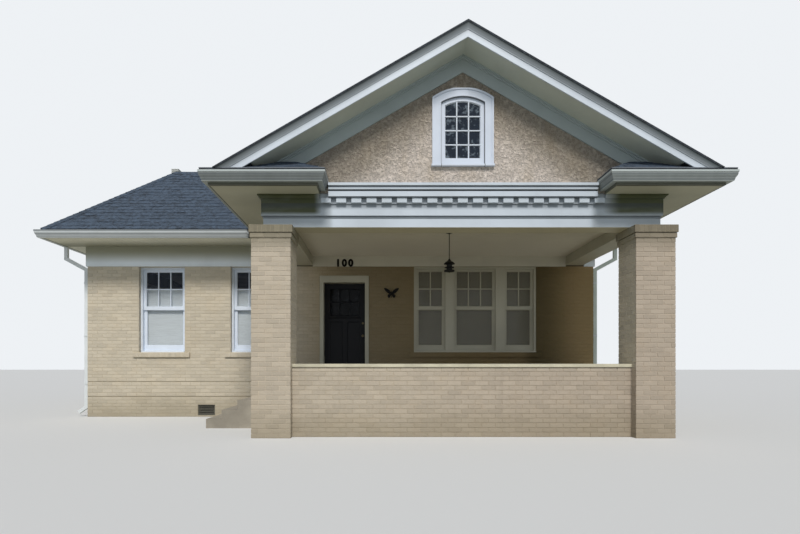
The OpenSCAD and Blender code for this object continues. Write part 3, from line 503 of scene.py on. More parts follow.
@dataclass(frozen=True)
class Stucco(Finish):
    """Rough-cast stucco with a thrown texture, with painted shade under the two rakes."""
    peak: float = 5.685
    pitch: float = 0.715

    def patterns(self, graph: Graph) -> Patterns:
        """Throw lumps of three sizes, with painted shade in their hollows, and blotch and stain
        them.

        Args:
            graph: the material's tree.

        Returns:
            Colour, roughness and normal.
        """
        lumps = graph.noise(24.0, 4.0, 0.62).above(0.36, 0.64)
        curds = graph.noise(52.0, 3.0, 0.6).above(0.36, 0.64)
        grit = graph.cells(90.0)
        # Painted shade: hollows darker, lumps lighter.
        colour = graph.mix(self.shade(0.71), self.shade(1.16),
                           (lumps * 0.6 + curds * 0.4).above(0.0, 0.9))
        colour = colour.over(self.shade(0.78), graph.noise(4.0).above(0.5, 0.75) * 0.4)
        stain = graph.noise((3.0, 3.0, 0.8), 4.0).above(0.45, 0.75)
        return (colour.over(tint(206, 188, 162), stain * 0.4), 0.85 + grit * 0.1,
                graph.bump(lumps + curds * 0.5 + grit * 0.25, 0.018))

    def aged_and_shaded(self, graph: Graph, colour: Value) -> Value:
        """Paint shade on the wall under the rakes."""
        drop = graph.below_gable(self.peak, self.pitch)
        return colour.dulled((0.49, 0.48, 0.44), drop.below(0.2, 0.84))


@dataclass(frozen=True)
class ShingleFelt(Finish):
    """Slate-grey granules on asphalt tabs, each tab in its own blend."""

    def patterns(self, graph: Graph) -> Patterns:
        """Blend granules over tabs of differing tones.

        Args:
            graph: the material's tree.

        Returns:
            Colour, roughness and normal.
        """
        fleck = graph.noise(160.0, 3.0, 0.7)
        dash = graph.noise((9.0, 9.0, 20.0), 3.0, 0.6).above(0.40, 0.60) * 0.46
        chip = graph.noise((17.0, 17.0, 34.0), 2.0, 0.6).above(0.42, 0.58) * 0.42
        blend = graph.tone() * 0.26 + graph.noise(1.1, 4.0) * 0.18 + fleck * 0.2 + (dash + chip)
        colour = graph.mix(self.shade(0.56), self.shade(1.46), (blend - 0.2).above(0.0, 1.0))
        return (colour.over(tint(132, 138, 146), fleck.above(0.55, 0.72) * 0.46),
                0.86 + fleck * 0.1, graph.bump(graph.cells(420.0) + fleck * 0.6, 0.0022, 0.9))


@dataclass(frozen=True)
class Glass(Finish):
    """Clear pane with a faint dusty film, and a painted reflection of the trees across the street.
    """
    alpha: float = 0.34
    painted_reflection: float = 0.0

    def patterns(self, graph: Graph) -> Patterns:
        """Give the pane a dusty film and paint a reflection of trees on it.

        Args:
            graph: the material's tree.

        Returns:
            Colour, roughness and normal.
        """
        film = graph.noise(3.0, 4.0)
        leaves = graph.noise(13.0, 4.0, 0.65).above(0.52, 0.66)
        colour = graph.mix(self.shade(0.8), self.shade(1.4), film)
        # Painted reflection of trees.
        return (colour.over(tint(118, 130, 140), leaves * self.painted_reflection), 0.03 + film * 0.07,
                graph.bump(graph.noise(1.6, 1.0), 0.002, 0.25))

    def constants(self) -> dict[str, float]:
        """Let a part of the light through."""
        return {"Alpha": self.alpha, "IOR": 1.52}


@dataclass(frozen=True)
class Metal(Finish):
    """Painted or bare metal with fine wear."""
    metallic: float = 0.0
    wear: float = 0.2

    def patterns(self, graph: Graph) -> Patterns:
        """Cloud the sheen and wear the high places.

        Args:
            graph: the material's tree.

        Returns:
            Colour, roughness and normal.
        """
        scuff = graph.noise(45.0, 4.0, 0.7)
        colour = graph.mix(self.shade(1.08), self.shade(0.82), graph.noise(4.0, 4.0))
        return (colour.over(self.shade(1.6), scuff.above(0.66, 0.8) * self.wear),
                self.roughness + scuff * 0.2, graph.bump(scuff, 0.0006, 0.5))

    def constants(self) -> dict[str, float]:
        """How much of a bare metal it is."""
        return {"Metallic": self.metallic}


@dataclass(frozen=True)
class GutterEnamel(Finish):
    """White enamel on a gutter, clean on its rolled lip, with painted shade on the face below it,
    streaked with dirt, and painted shade lines in its folds.
    """
    sheen: float = 0.3
    foot: float = 3.695
    lip: float = 3.797
    crest: float = 3.816
    shade_and_grime: float = 0.5

    def patterns(self, graph: Graph) -> Patterns:
        """Paint shade on the face below the lip, streaked with dirt, and shade lines along the
        folds.

        Args:
            graph: the material's tree.

        Returns:
            Colour, roughness and normal.
        """
        x, _, z = graph.axes
        cloud, streak = graph.noise(3.0, 4.0), graph.noise((9.0, 9.0, 1.5), 5.0, 0.6)
        bead = z.above(self.foot + 0.004, self.foot + 0.010) * 0.7 + 0.3
        face = z.below(self.lip - 0.004, self.lip) * bead * (1.0 - x.above(0.0, 4.0) * 0.2)
        colour = graph.mix(self.shade(1.05), self.shade(0.92), cloud)
        # Painted shade on the face, lighter at the bottom edge and to the right, streaked with dirt.
        colour = colour.over(self.shade(0.2), face * self.shade_and_grime * (0.75 + streak * 0.3))
        # Painted shade lines under the lip, above the bottom edge and above the crest.
        for low, high, strength in ((self.lip - 0.040, self.lip - 0.020, 0.4),
                                    (self.foot + 0.010, self.foot + 0.030, 0.45),
                                    (self.crest, 9.0, 0.75)):
            line = z.within(low, low + 0.004, high - 0.004, high)
            colour = colour.over(tint(62, 70, 78), line * strength)
        return (colour, self.roughness + streak * 0.2,
                graph.bump(cloud + streak * 0.4, 0.0006, 0.4))


@dataclass(frozen=True)
class Concrete(Finish):
    """Cast concrete or painted mortar with pores and stains."""

    def patterns(self, graph: Graph) -> Patterns:
        """Stain and pit the surface.

        Args:
            graph: the material's tree.

        Returns:
            Colour, roughness and normal.
        """
        cloud, sand, pore = (graph.noise(1.7, 6.0, 0.65), graph.noise(120.0, 3.0, 0.7),
                             graph.cells(55.0))
        colour = graph.mix(self.shade(1.12), self.shade(0.78), cloud.above(0.3, 0.72))
        return (colour.over(self.shade(0.55), pore.below(0.0, 0.12) * 0.5), 0.75 + sand * 0.2,
                graph.bump(sand * 0.5 + pore.above(0.0, 0.2), 0.002, 0.7))


@dataclass(frozen=True)
class Planks(Finish):
    """Oak boards indoors."""
    pitch: float = 0.083

    def patterns(self, graph: Graph) -> Patterns:
        """Draw the boards with their grain.

        Args:
            graph: the material's tree.

        Returns:
            Colour, roughness and normal.
        """
        gap = graph.axes[0].rim(self.pitch).above(0.9, 0.98)
        grain = graph.noise((60.0, 2.0, 2.0), 5.0)
        colour = graph.mix(self.shade(1.25), self.shade(0.7), grain).over(self.shade(0.25), gap)
        return colour, 0.35 + grain * 0.2, graph.bump(grain - gap * 2.0, 0.001)


@dataclass(frozen=True)
class Cloth(Finish):
    """Woven shade cloth."""
    thread: float = 0.0016

    def patterns(self, graph: Graph) -> Patterns:
        """Weave threads across each other.

        Args:
            graph: the material's tree.

        Returns:
            Colour, roughness and normal.
        """
        x, y, z = graph.axes
        weave = (z.rim(self.thread) + (x + y).rim(self.thread)) * 0.25
        slub = graph.noise((4.0, 4.0, 60.0))
        return (graph.mix(self.shade(1.03), self.shade(0.88), slub.above(0.3, 0.8)),
                0.85 + slub * 0.1, graph.bump(weave, 0.0006, 0.6))


class Finishes:
    """Every finish of the house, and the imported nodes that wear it."""
    BRICK = PaintedBrick("brick_paint", (203, 193, 175))
    JOINT = PaintedBrick("joint_paint", (196, 186, 166), contrast=0.6)
    # Painted light: a lighter copy of the joint paint, so the piers' joints hardly shade.
    PIER_JOINT = PaintedBrick("pier_joint_paint", (214, 204, 185), contrast=0.3)
    TRIM = TrimPaint("trim_paint", (190, 200, 210), 0.42)
    RAKE = RakePaint("rake_paint", (204, 213, 224), 0.38)
    CROWN = RakePaint("rake_crown_paint", (188, 196, 205), 0.4)
    # Painted shade: a darker copy of the trim paint for the frieze under the rake soffit.
    RAKE_FRIEZE = TrimPaint("rake_frieze_paint", (159, 170, 172), 0.5)
    # Grooves of painted shade: under the dentils and under the frieze's lower edge.
    BEAM = BeamPaint("beam_paint", (194, 204, 215), 0.42, grooves=(
        (3.54, 3.63, 3.66, 0.62), (3.428, 3.434, 3.467, 0.5)))
    # Grooves of painted shade: behind the dentils and in the cornice's quirks.
    CORNICE = MouldedPaint("cornice_paint", (196, 206, 217), 0.42, grooves=(
        (3.640, 3.645, 3.727, 0.5), (3.723, 3.726, 3.741, 0.8), (3.818, 3.823, 3.846, 0.85),
        (3.875, 3.879, 3.900, 0.35)))
    # Painted light and shade: a base lighter than the other trim, darker up under the soffit.
    FRIEZE = EavesPaint("frieze_paint", (232, 240, 248), 0.42)
    # Painted shade: a dark copy of the trim paint for the fascias deep under the eaves.
    FASCIA = TrimPaint("fascia_paint", (90, 92, 80), 0.5)
    CASING = TrimPaint("casing_paint", (218, 227, 240), 0.40)
    # Painted shade: a darker copy of the casing paint for the arched window under the gable.
    ARCH_CASING = ArchPaint("arch_casing_paint", (204, 213, 228), 0.40)
    ARCH_BARS = TrimPaint("arch_bar_paint", (214, 222, 234), 0.40)
    # Painted shade: darker, warmer copies of the trim paint for the trim inside the porch.
    PORCH_TRIM = TrimPaint("porch_trim_paint", (182, 178, 160), 0.45)
    PORCH_FRIEZE = TrimPaint("porch_frieze_paint", (204, 200, 186), 0.45)
    # Painted shade: the front soffit darker towards the wall.
    SOFFIT = EavesPaint("soffit_boards", (238, 236, 220), 0.5, seam_axis=0, seam_pitch=0.1016,
                        light_and_shade=(166, 165, 148), foot=-3.3, head=-2.62, axis=1, stop=-2.57,
                        curve=1.2)
    # Painted shade: a dark band along the front of the returns' soffits, behind the gutters.
    RETURN_SOFFIT = MouldedPaint("eave_boards", (184, 182, 162), 0.5, axis=1, shade_and_grime=(66, 60, 38),
                                 grooves=((-6.50, -6.45, -6.255, 0.8),))
    # Painted shade: a grey-green copy of the trim paint for the rake's soffit.
    RAKE_SOFFIT = TrimPaint("rake_soffit_paint", (188, 194, 184), 0.5)
    # Painted light: the porch ceiling lighter towards the wall.
    CEILING = EavesPaint("porch_ceiling_paint", (210, 204, 183), 0.5, light_and_shade=(232, 226, 212),
                         foot=-5.7, head=-2.7, axis=1, curve=1.0)
    # Painted shade on the gutter faces; the porch gutters' enamel is a darker, duller copy with
    # more.
    GUTTER = GutterEnamel("gutter_enamel", (212, 218, 221), 0.30, shade_and_grime=0.44)
    PORCH_GUTTER = GutterEnamel("porch_gutter_enamel", (180, 188, 188), 0.34, foot=3.83,
                                lip=3.95, crest=9.0, shade_and_grime=0.8, sheen=0.15)
    DRIP = Metal("drip_edge_enamel", (118, 124, 132), 0.4)
    SPOUT = Metal("spout_enamel", (226, 231, 234), 0.32, wear=0.1)
    EAST_SPOUT = Metal("shaded_spout_enamel", (214, 224, 217), 0.32, wear=0.1)
    STUCCO = Stucco("roughcast", (231, 219, 209))
    SHINGLE = ShingleFelt("shingle_granules", (60, 73, 89))
    # Dark felt under the shingles; on the shingle edges along rakes and gutters it is painted shade.
    UNDERLAY = ShingleFelt("shingle_edges", (44, 50, 58))
    DECK = Concrete("deck_membrane", (112, 114, 116))
    VENT = Metal("vent_enamel", (190, 192, 188), 0.4)
    FLOOR = Planks("oak_floor", (128, 92, 60))
    PLASTER = Concrete("ceiling_plaster", (222, 219, 210))
    PAVING = Concrete("porch_floor_paint", (120, 114, 102))
    CAP = Concrete("wall_cap_paint", (206, 200, 178))
    STEP = Concrete("step_concrete", (160, 153, 141))
    BRONZE = Metal("dark_bronze", (18, 16, 14), 0.42, wear=0.1, sheen=0.25)
    BRASS = Metal("aged_brass", (110, 100, 78), 0.42, metallic=0.8)
    IRON = Metal("black_iron", (15, 13, 11), 0.5, wear=0.05, sheen=0.2)
    GLASS = Glass("window_pane", (80, 88, 104), alpha=0.15, sheen=0.22)
    # The attic and door panes carry a painted reflection of trees.
    ATTIC_GLASS = Glass("attic_pane", (24, 34, 48), alpha=0.85, sheen=0.3, painted_reflection=0.75)
    DIM_GLASS = Glass("porch_window_pane", (122, 118, 104), alpha=0.42, sheen=0.25)
    DOOR_GLASS = Glass("door_pane", (9, 10, 12), alpha=0.85, sheen=0.1, painted_reflection=0.1)
    SHADE = Cloth("shade_cloth", (244, 252, 255))
    SHEER = Cloth("sheer_cloth", (196, 192, 178))
    DOOR = Metal("front_door_enamel", (17, 19, 25), 0.40, wear=0.1, sheen=0.25)
    THRESHOLD = Planks("threshold_oak", (120, 112, 98))
    GRILLE = Metal("grille_enamel", (92, 90, 82), 0.5)

    WORN: dict[str, Finish] = {node: finish for finish, nodes in (
        (JOINT, "front_wall_left front_wall_over_door front_wall_right left_wall right_wall"
                " back_wall porch_foundation porch_low_wall window_sills"),
        (PIER_JOINT, "pier_left pier_right"), (TRIM, "dentils"), (CORNICE, "cornice"),
        (BEAM, "front_beam bed_moulds"), (FRIEZE, "frieze_boards"),
        (FASCIA, "main_fascia return_fascias"), (PORCH_FRIEZE, "porch_frieze"),
        (PORCH_TRIM, "side_beams triple_frame triple_sashes door_frame"),
        (CASING, "window_frames window_sashes"), (ARCH_CASING, "arched_casing arched_sash"),
        (SPOUT, "downspout_left"), (EAST_SPOUT, "downspout_right"), (GUTTER, "main_gutter"),
        (PORCH_GUTTER, "porch_gutters"), (UNDERLAY, "main_roof gable_roof return_roofs"),
        (RAKE, "rake_fascia"), (RAKE_SOFFIT, "rake_soffit"), (RAKE_FRIEZE, "rake_frieze"),
        (SOFFIT, "main_soffit"), (RETURN_SOFFIT, "return_soffits"), (CEILING, "porch_ceiling"),
        (DECK, "roof_deck"), (VENT, "roof_vent"), (STUCCO, "gable_wall"), (FLOOR, "main_floor"),
        (PLASTER, "main_ceiling"), (PAVING, "porch_floor"), (CAP, "porch_wall_cap"),
        (STEP, "porch_steps"), (BRONZE, "porch_lantern"), (GLASS, "window_glass"),
        (ATTIC_GLASS, "arched_glass"), (DIM_GLASS, "triple_glass"), (DOOR_GLASS, "door_glass"),
        (SHADE, "window_shades"), (SHEER, "porch_shades"), (DOOR, "front_door"),
        (THRESHOLD, "door_threshold"), (BRASS, "door_knob"), (GRILLE, "crawl_vents"),
    ) for node in nodes.split()}


class Body(Enum):
    """The bodies that pieces ride on."""
    HOUSE = "house"
    DOOR = "door"


def finished(piece: Thing, slot: str, finish: Finish | None = None,
             body: Body = Body.HOUSE) -> None:
    """Give a piece its finish and its body.

    Args:
        piece: the object, with its place in its mesh.
        slot: the record's material slot; not used.
        finish: its finish, where the mesh has none yet.
        body: what it rides on.
    """
    if finish is not None:
        piece.data.materials.clear()
        piece.data.materials.append(finish.material())
    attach(piece, body.value)
    piece.data.calc_loop_triangles()
    log.info("%s: %d triangles", piece.name, len(piece.data.loop_triangles))


def new_object(name: str, data: bpy.types.ID) -> Thing:
    """Put an object of that data in the scene.

    Args:
        name: its name.
        data: a mesh or other data.

    Returns:
        The object.
    """
    made = bpy.data.objects.new(name, data)
    bpy.context.scene.collection.objects.link(made)
    return made


def from_bmesh(name: str, bm: Builder) -> Thing:
    """Turn a bmesh into an object, with its doubles merged and its faces turned outwards.

    Args:
        name: the object's name.
        bm: the bmesh, which is freed.

    Returns:
        The object.
    """
    bmesh.ops.remove_doubles(bm, verts=bm.verts, dist=1e-6)
    bmesh.ops.recalc_face_normals(bm, faces=bm.faces)
    mesh = bpy.data.meshes.new(name)
    bm.to_mesh(mesh)
    bm.free()
    return new_object(name, mesh)


def skin(bm: Builder, rings: Iterable[Iterable[Sequence[float]]],
         endless: bool = False) -> list[list[bmesh.types.BMVert]]:
    """Join a row of closed rings of points with faces.

    Args:
        bm: the mesh that takes them.
        rings: the rings, each with the same number of points.
        endless: join the last ring to the first instead of closing both ends.

    Returns:
        The new vertices, ring by ring.
    """
    made = [[bm.verts.new(point) for point in ring] for ring in rings]
    for a, b in zip(made, made[1:] + made[:1] if endless else made[1:]):
        for i, j in zip(range(len(a)), [*range(1, len(a)), 0]):
            bm.faces.new((a[i], a[j], b[j], b[i]))
    if not endless:
        bm.faces.new(made[0][::-1])
        bm.faces.new(made[-1])
    return made


@dataclass
class Piece:
    """One brick, tab or board that is laid: its place, its axes and its size, in metres."""
    place: Vector
    turn: Triple
    size: Triple


class Laying:
    """Geometry Nodes tree that sets a unit on every point, jitters it and gives it a tone."""

    def __init__(self) -> None:
        """Build the tree with its named inputs."""
        self.tree = bpy.data.node_groups.new("laying", "GeometryNodeTree")
        face = self.tree.interface
        for way in ("OUTPUT", "INPUT"):
            face.new_socket("Geometry", in_out=way, socket_type="NodeSocketGeometry")
        self.inputs = {name: face.new_socket(name, in_out="INPUT",
                                             socket_type=f"NodeSocket{kind}").identifier
                       for name, kind in (("Unit", "Object"), ("Jitter", "Float"),
                                          ("Seed", "Int"), ("Finish", "Material"))}
        graph = Graph(self.tree)
        given = {s.name: Value(graph, s) for s in graph.node("NodeGroupInput").outputs}
        low, high = (graph.value("ShaderNodeCombineXYZ", dict.fromkeys(range(3), reach))
                     for reach in (given["Jitter"] * -1.0, given["Jitter"]))
        shift = graph.value("FunctionNodeRandomValue", {0: low, 1: high, "Seed": given["Seed"]},
                            data_type="FLOAT_VECTOR")
        points = graph.value("GeometryNodeSetPosition",
                             {"Geometry": given["Geometry"], "Offset": shift})
        turn, size = (graph.value("GeometryNodeInputNamedAttribute", {"Name": name},
                                  data_type="FLOAT_VECTOR") for name in ("turn", "size"))
        unit = graph.value("GeometryNodeObjectInfo",
                           {"Object": given["Unit"], "As Instance": True}, "Geometry")
        laid = graph.value("GeometryNodeInstanceOnPoints", {
            "Points": points, "Instance": unit, "Scale": size,
            "Rotation": graph.value("FunctionNodeEulerToRotation", {0: turn})})
        tone = graph.value("FunctionNodeRandomValue", {2: 0.0, 3: 1.0, "Seed": given["Seed"]}, 1,
                           data_type="FLOAT")
        toned = graph.value("GeometryNodeStoreNamedAttribute",
                            {"Geometry": laid, "Name": "tone", "Value": tone},
                            data_type="FLOAT", domain="INSTANCE")
        whole = graph.value("GeometryNodeRealizeInstances", {"Geometry": toned})
        graph.node("NodeGroupOutput", {0: graph.value("GeometryNodeSetMaterial", {
            "Geometry": whole, "Material": given["Finish"]})})

    def lay(self, name: str, pieces: Sequence[Piece], unit: Thing, finish: Finish,
            jitter: float, seed: int) -> Thing:
        """Lay a unit on every piece's place.

        Args:
            name: the new object's name.
            pieces: where each unit goes, how it is turned and how large it is.
            unit: an object one metre in each direction.
            finish: the finish of all of them.
            jitter: the most that a unit strays from its place, in metres.
            seed: seed of the strays and the tones.

        Returns:
            One plain mesh object.
        """
        mesh = bpy.data.meshes.new(name)
        mesh.from_pydata([p.place for p in pieces], [], [])
        for key in ("turn", "size"):
            layer = mesh.attributes.new(key, "FLOAT_VECTOR", "POINT")
            layer.data.foreach_set("vector", [c for p in pieces for c in getattr(p, key)])
        made = new_object(name, mesh)
        modifier = made.modifiers.new("laying", "NODES")
        modifier.node_group = self.tree
        for key, value in (("Unit", unit), ("Jitter", jitter), ("Seed", seed),
                           ("Finish", finish.material())):
            modifier[self.inputs[key]] = value
        graph = bpy.context.evaluated_depsgraph_get()
        solid = bpy.data.meshes.new_from_object(made.evaluated_get(graph),
                                                preserve_all_data_layers=True, depsgraph=graph)
        made.modifiers.clear()
        made.data = solid
        for key in ("turn", "size"):
            if key in solid.attributes:
                solid.attributes.remove(solid.attributes[key])
        return made


def unit_block(name: str, chamfer: Pair, back: float) -> Thing:
    """A block one metre long, deep and high with a chamfered front.

    Args:
        name: the object's name.
        chamfer: width of the chamfer as a share of the length and of the height.
        back: share of the depth at which the chamfer starts.

    Returns:
        The block, from -0.5 to 0.5 in x and z, and from 0, its back, to 1, its front, in y.
    """
    bm = bmesh.new()
    skin(bm, [[(-x, y, -z), (x, y, -z), (x, y, z), (-x, y, z)] for x, y, z in (
        (0.5, 0.0, 0.5), (0.5, back, 0.5), (0.5 - chamfer[0], 1.0, 0.5 - chamfer[1]))])
    return from_bmesh(name, bm)


def single_windows() -> list[tuple[Pair, Pair, Pair]]:
    """List the single windows of the front, the sides and the back.

    Returns:
        Lower corner, direction and outward side of each one, in the plan.
    """
    found = [((x, 0.0), (1.0, 0.0), (0.0, -1.0)) for x in (1107.0, 3100.0)]
    for k in (1, 3, 5):
        y = DEPTH * k / 6 - WINDOW_W / 2
        found += [((0.0, y), (0.0, 1.0), (-1.0, 0.0)), ((WIDTH, y), (0.0, 1.0), (1.0, 0.0))]
    return found + [((WIDTH * k / 8 - WINDOW_W / 2, DEPTH), (1.0, 0.0), (0.0, 1.0))
                    for k in (1, 3, 5, 7)]


@dataclass
class Panel:
    """One face of brickwork in plan millimetres, with its courses in bands between heights.

    lap is how far it reaches past its corners, shift how far its bond is moved along, and least
    the length and height under which no brick is cut.
    """
    origin: Pair
    along: Pair
    out: Pair
    length: float
    bands: Sequence[Pair]
    holes: Sequence[Rect] = ()
    lap: float = 0.0
    shift: float = 0.0
    least: Pair = (20.0, 14.0)

    def free(self, z0: float, z1: float) -> Iterator[Rect]:
        """Cut the holes out of one course.

        Args:
            z0: the foot of the course.
            z1: its head.

        Returns:
            The parts that no hole takes and that are large enough for a brick.
        """
        rects: list[Rect] = [(-self.lap, self.length + self.lap, z0, z1)]
        for left, right, foot, head in self.holes:
            kept: list[Rect] = []
            for a, b, c, d in rects:
                if right <= a or left >= b or head <= c or foot >= d:
                    kept.append((a, b, c, d))
                    continue
                low, high = max(a, left), min(b, right)
                kept += [r for r in ((a, left, c, d), (right, b, c, d), (low, high, c, foot),
                                     (low, high, head, d)) if r[1] > r[0] and r[3] > r[2]]
            rects = kept
        yield from (r for r in rects
                    if r[1] - r[0] > self.least[0] and r[3] - r[2] > self.least[1])


@dataclass
class Brickwork:
    """Bricks laid in running bond on every face of the walls, piers and low walls."""
    course: float = 74.0
    pitch: float = 213.0
    joint: float = 9.0
    proud: float = 6.0
    buried: float = 4.0
    closer: float = 48.0
    jitter: float = 0.0009
    bands: tuple[Pair, ...] = ((0, 430), (444, 754), (768, 3262))
    sill: Pair = (110.0, 105.0)
    rowlock: float = 66.0
    sill_stand: float = 45.0
    pier_top: float = 3096.0
    pier_caps: tuple[Pair, Pair] = ((17.0, 74.0), (34.0, 195.0))
    reveal: float = 92.0
    vent: Triple = (370.0, 30.0, 260.0)
    front_vent: float = 2393.0
    doorway: Rect = (5041.0, 6105.0, 829.0, 3063.0)
    foundation: float = 750.0
    steps: Rect = (687.0, 2087.0, 0.0, 664.0)
    floor: float = 830.0
    low_top: float = 1100.0
    cap_top: float = 1150.0
    low_x: Pair = (10455.0, 10755.0)
    low_y: Pair = (-3224.0, -2924.0)

    def opening(self, u: float, width: float = WINDOW_W) -> list[Rect]:
        """Cut the hole of a window and that of its sill.

        Args:
            u: where the window starts along its wall.
            width: how wide it is.

        Returns:
            Both holes.
        """
        over, tall = self.sill
        return [(u, u + width, WINDOW_FOOT - 1, WINDOW_HEAD + 4),
                (u - over, u + width + over, WINDOW_FOOT - tall, WINDOW_FOOT + 1)]

    def pieces(self, panel: Panel) -> list[Piece]:
        """Lay a panel in bond, with closers at its ends and holes.

        Args:
            panel: the face to lay.

        Returns:
            Its bricks.
        """
        laid = []
        for z0, z1 in panel.bands:
            rows = max(1, round((z1 - z0) / self.course))
            high = (z1 - z0) / rows
            for row in range(rows):
                start = (row % 2) * self.pitch / 2 + panel.shift
                for a, b, c, d in panel.free(z0 + row * high, z0 + (row + 1) * high):
                    first = math.ceil((a + self.closer - start) / self.pitch)
                    last = math.floor((b - self.closer - start) / self.pitch)
                    cuts = [a, *(start + k * self.pitch for k in range(first, last + 1)), b]
                    laid += [self.brick(panel, u, v, c, d) for u, v in zip(cuts, cuts[1:])]
        return laid

    def brick(self, panel: Panel, u: float, v: float, c: float, d: float,
              depth: float = 1.0) -> Piece:
        """Make one brick.

        Args:
            panel: the face that it lies in.
            u: where it starts along the panel.
            v: where it ends.
            c: its foot.
            d: its head.
            depth: its share of the usual depth.

        Returns:
            The brick, smaller by its joints.
        """
        ends = [self.joint / 2 * (0 < e < panel.length) for e in (u, v)]
        x, y = (start + step * (u + v) / 2 - out * self.buried + step * (ends[0] - ends[1]) / 2
                for start, step, out in zip(panel.origin, panel.along, panel.out))
        angle = math.atan2(panel.out[1], panel.out[0]) - math.pi / 2
        return Piece(at(x, y, (c + d) / 2), (0.0, 0.0, angle),
                     ((v - u - sum(ends)) / 1000, (self.proud + self.buried) / 1000 * depth,
                      (d - c - self.joint) / 1000))

    def walls(self) -> dict[str, list[Panel]]:
        """Lay out the panels of every wall.

        Returns:
            The panels, by the name of their piece.
        """
        vent_w, *vent_z = self.vent

        def with_vents(places: Iterable[float]) -> list[Rect]:
            """The holes of windows at those places, each with a vent near the ground."""
            return [h for u in places for h in [*self.opening(u), (u, u + vent_w, *vent_z)]]

        def turned(holes: list[Rect], length: float) -> list[Rect]:
            """Holes measured from the other end."""
            return [(length - b, length - a, c, e) for a, b, c, e in holes]

        places = single_windows()
        front = [h for place in places[:2] for h in self.opening(place[0][0])]
        front += [*self.opening(TRIPLE_X, TRIPLE_W),
                  (self.front_vent, self.front_vent + vent_w, *vent_z), self.doorway,
                  (PIERS[0], self.low_x[0], 0, self.floor), (*self.low_x, 0, self.cap_top)]
        side = with_vents(y for (x, y), _, _ in places if x == WIDTH)
        back = with_vents(x for (x, y), _, _ in places if y == DEPTH)
        lap, bands = self.proud - 0.5, self.bands
        return {
            "bricks_front": [Panel((0, 0), (1, 0), (0, -1), WIDTH, bands, front, lap)],
            "bricks_back": [Panel((WIDTH, DEPTH), (-1, 0), (0, 1), WIDTH, bands,
                                  turned(back, WIDTH), lap)],
            "bricks_left": [Panel((0, DEPTH), (0, -1), (-1, 0), DEPTH, bands,
                                  turned(side, DEPTH))],
            "bricks_right": [Panel((WIDTH, 0), (0, 1), (1, 0), DEPTH, bands, side)],
            "bricks_reveals": self.reveals(),
            "bricks_porch": self.porch_panels(),
            "bricks_pier_left": self.pier_panels(PIERS[0], inner=1),
            "bricks_pier_right": self.pier_panels(PIERS[1], inner=-1),
        }

    def porch_panels(self) -> list[Panel]:
        """Lay out both faces of the low walls and the outer face of the foundation.

        Returns:
            The panels.
        """
        full, upper = [(0, self.low_top)], [(self.floor, self.low_top)]
        (x0, x1), (y0, y1), left, back = self.low_x, self.low_y, PIERS[0] + PIER_W, PIER_Y + PIER_W
        return [
            Panel((left, y0), (1, 0), (0, -1), PIERS[1] - left, full),
            Panel((left, y1), (1, 0), (0, 1), x0 - left, upper),
            Panel((x1, back), (0, 1), (1, 0), -back, full),
            Panel((x0, y1), (0, 1), (-1, 0), -y1, upper),
            Panel((PIERS[0], back), (0, 1), (-1, 0), -back, [(0, self.foundation)], [self.steps]),
        ]

    def pier_panels(self, x: float, inner: int) -> list[Panel]:
        """Four faces of a pier and of the lower tier of its cap.

        Args:
            x: the pier's left side in plan.
            inner: 1 where the porch lies to its right, -1 where it lies to its left.

        Returns:
            The panels.
        """
        near, far = (y - PIER_Y for y in self.low_y)
        low_wall, floor = (near, far, 0, self.cap_top), (far, PIER_W, 0, self.floor)
        behind = [(0, PIER_W, 0, self.floor)] if inner > 0 else [(0, far, 0, self.floor), low_wall]
        grow, tall = self.pier_caps[0]
        lap, shift, faces = self.proud - 0.5, self.pitch / 2, []
        for out, bands, holes in ((0.0, [(0.0, self.pier_top)], (behind, [low_wall, floor])),
                                  (grow, [(self.pier_top, self.pier_top + tall)], ((), ()))):
            long, x0, y0 = PIER_W + 2 * out, x - out, PIER_Y - out
            x1, y1 = x + PIER_W + out, PIER_Y + PIER_W + out
            faces += [Panel((x0, y0), (1, 0), (0, -1), long, bands, (), lap),
                      Panel((x0, y1), (1, 0), (0, 1), long, bands, holes[0], lap)]
            faces += [Panel((side, y0), (0, 1), (way, 0), long, bands,
                            holes[1] if way == inner else (), 0.0, shift)
                      for side, way in ((x1, 1), (x0, -1))]
        return faces

    def reveals(self) -> list[Panel]:
        """Lay out the two sides of each single window's opening, in front of its frame.

        Returns:
            The panels.
        """
        faces = []
        below = [(-20.0, self.reveal + 20, 0.0, WINDOW_FOOT)]
        for (x, y), along, out in single_windows():
            inward, back = (-out[0], -out[1]), (-along[0], -along[1])
            far = (x + along[0] * WINDOW_W, y + along[1] * WINDOW_W)
            for origin, side in (((x, y), along), (far, back)):
                start = (origin[0] + out[0] * self.proud, origin[1] + out[1] * self.proud)
                faces.append(Panel(start, inward, side, self.reveal + self.proud,
                                   self.bands[2:], below))
        return faces

    def rowlocks(self) -> list[Piece]:
        """Lay bricks on edge: the sills of the windows and the top tier of the piers' caps.

        Returns:
            The bricks.
        """
        found: list[Piece] = []
        over, tall = self.sill
        sills = [(*window, WINDOW_W) for window in single_windows()]
        for (x, y), along, out, width in [*sills, ((TRIPLE_X, 0.0), (1.0, 0.0), (0.0, -1.0),
                                                   TRIPLE_W)]:
            origin = (x - along[0] * over + out[0] * self.sill_stand,
                      y - along[1] * over + out[1] * self.sill_stand)
            found += self.row_on_edge(origin, along, out, width + 2 * over, WINDOW_FOOT - tall,
                                      WINDOW_FOOT - 17)
        (_, foot), (grow, head) = self.pier_caps
        long = PIER_W + 2 * grow
        for x in PIERS:
            x0, y0 = x - grow, PIER_Y - grow
            for origin, along, out in (((x0, y0), (1, 0), (0, -1)),
                                       ((x0, y0 + long), (1, 0), (0, 1)),
                                       ((x0, y0), (0, 1), (-1, 0)),
                                       ((x0 + long, y0), (0, 1), (1, 0))):
                found += self.row_on_edge(origin, along, out, long, self.pier_top + foot + 8,
                                          self.pier_top + head)
        return found

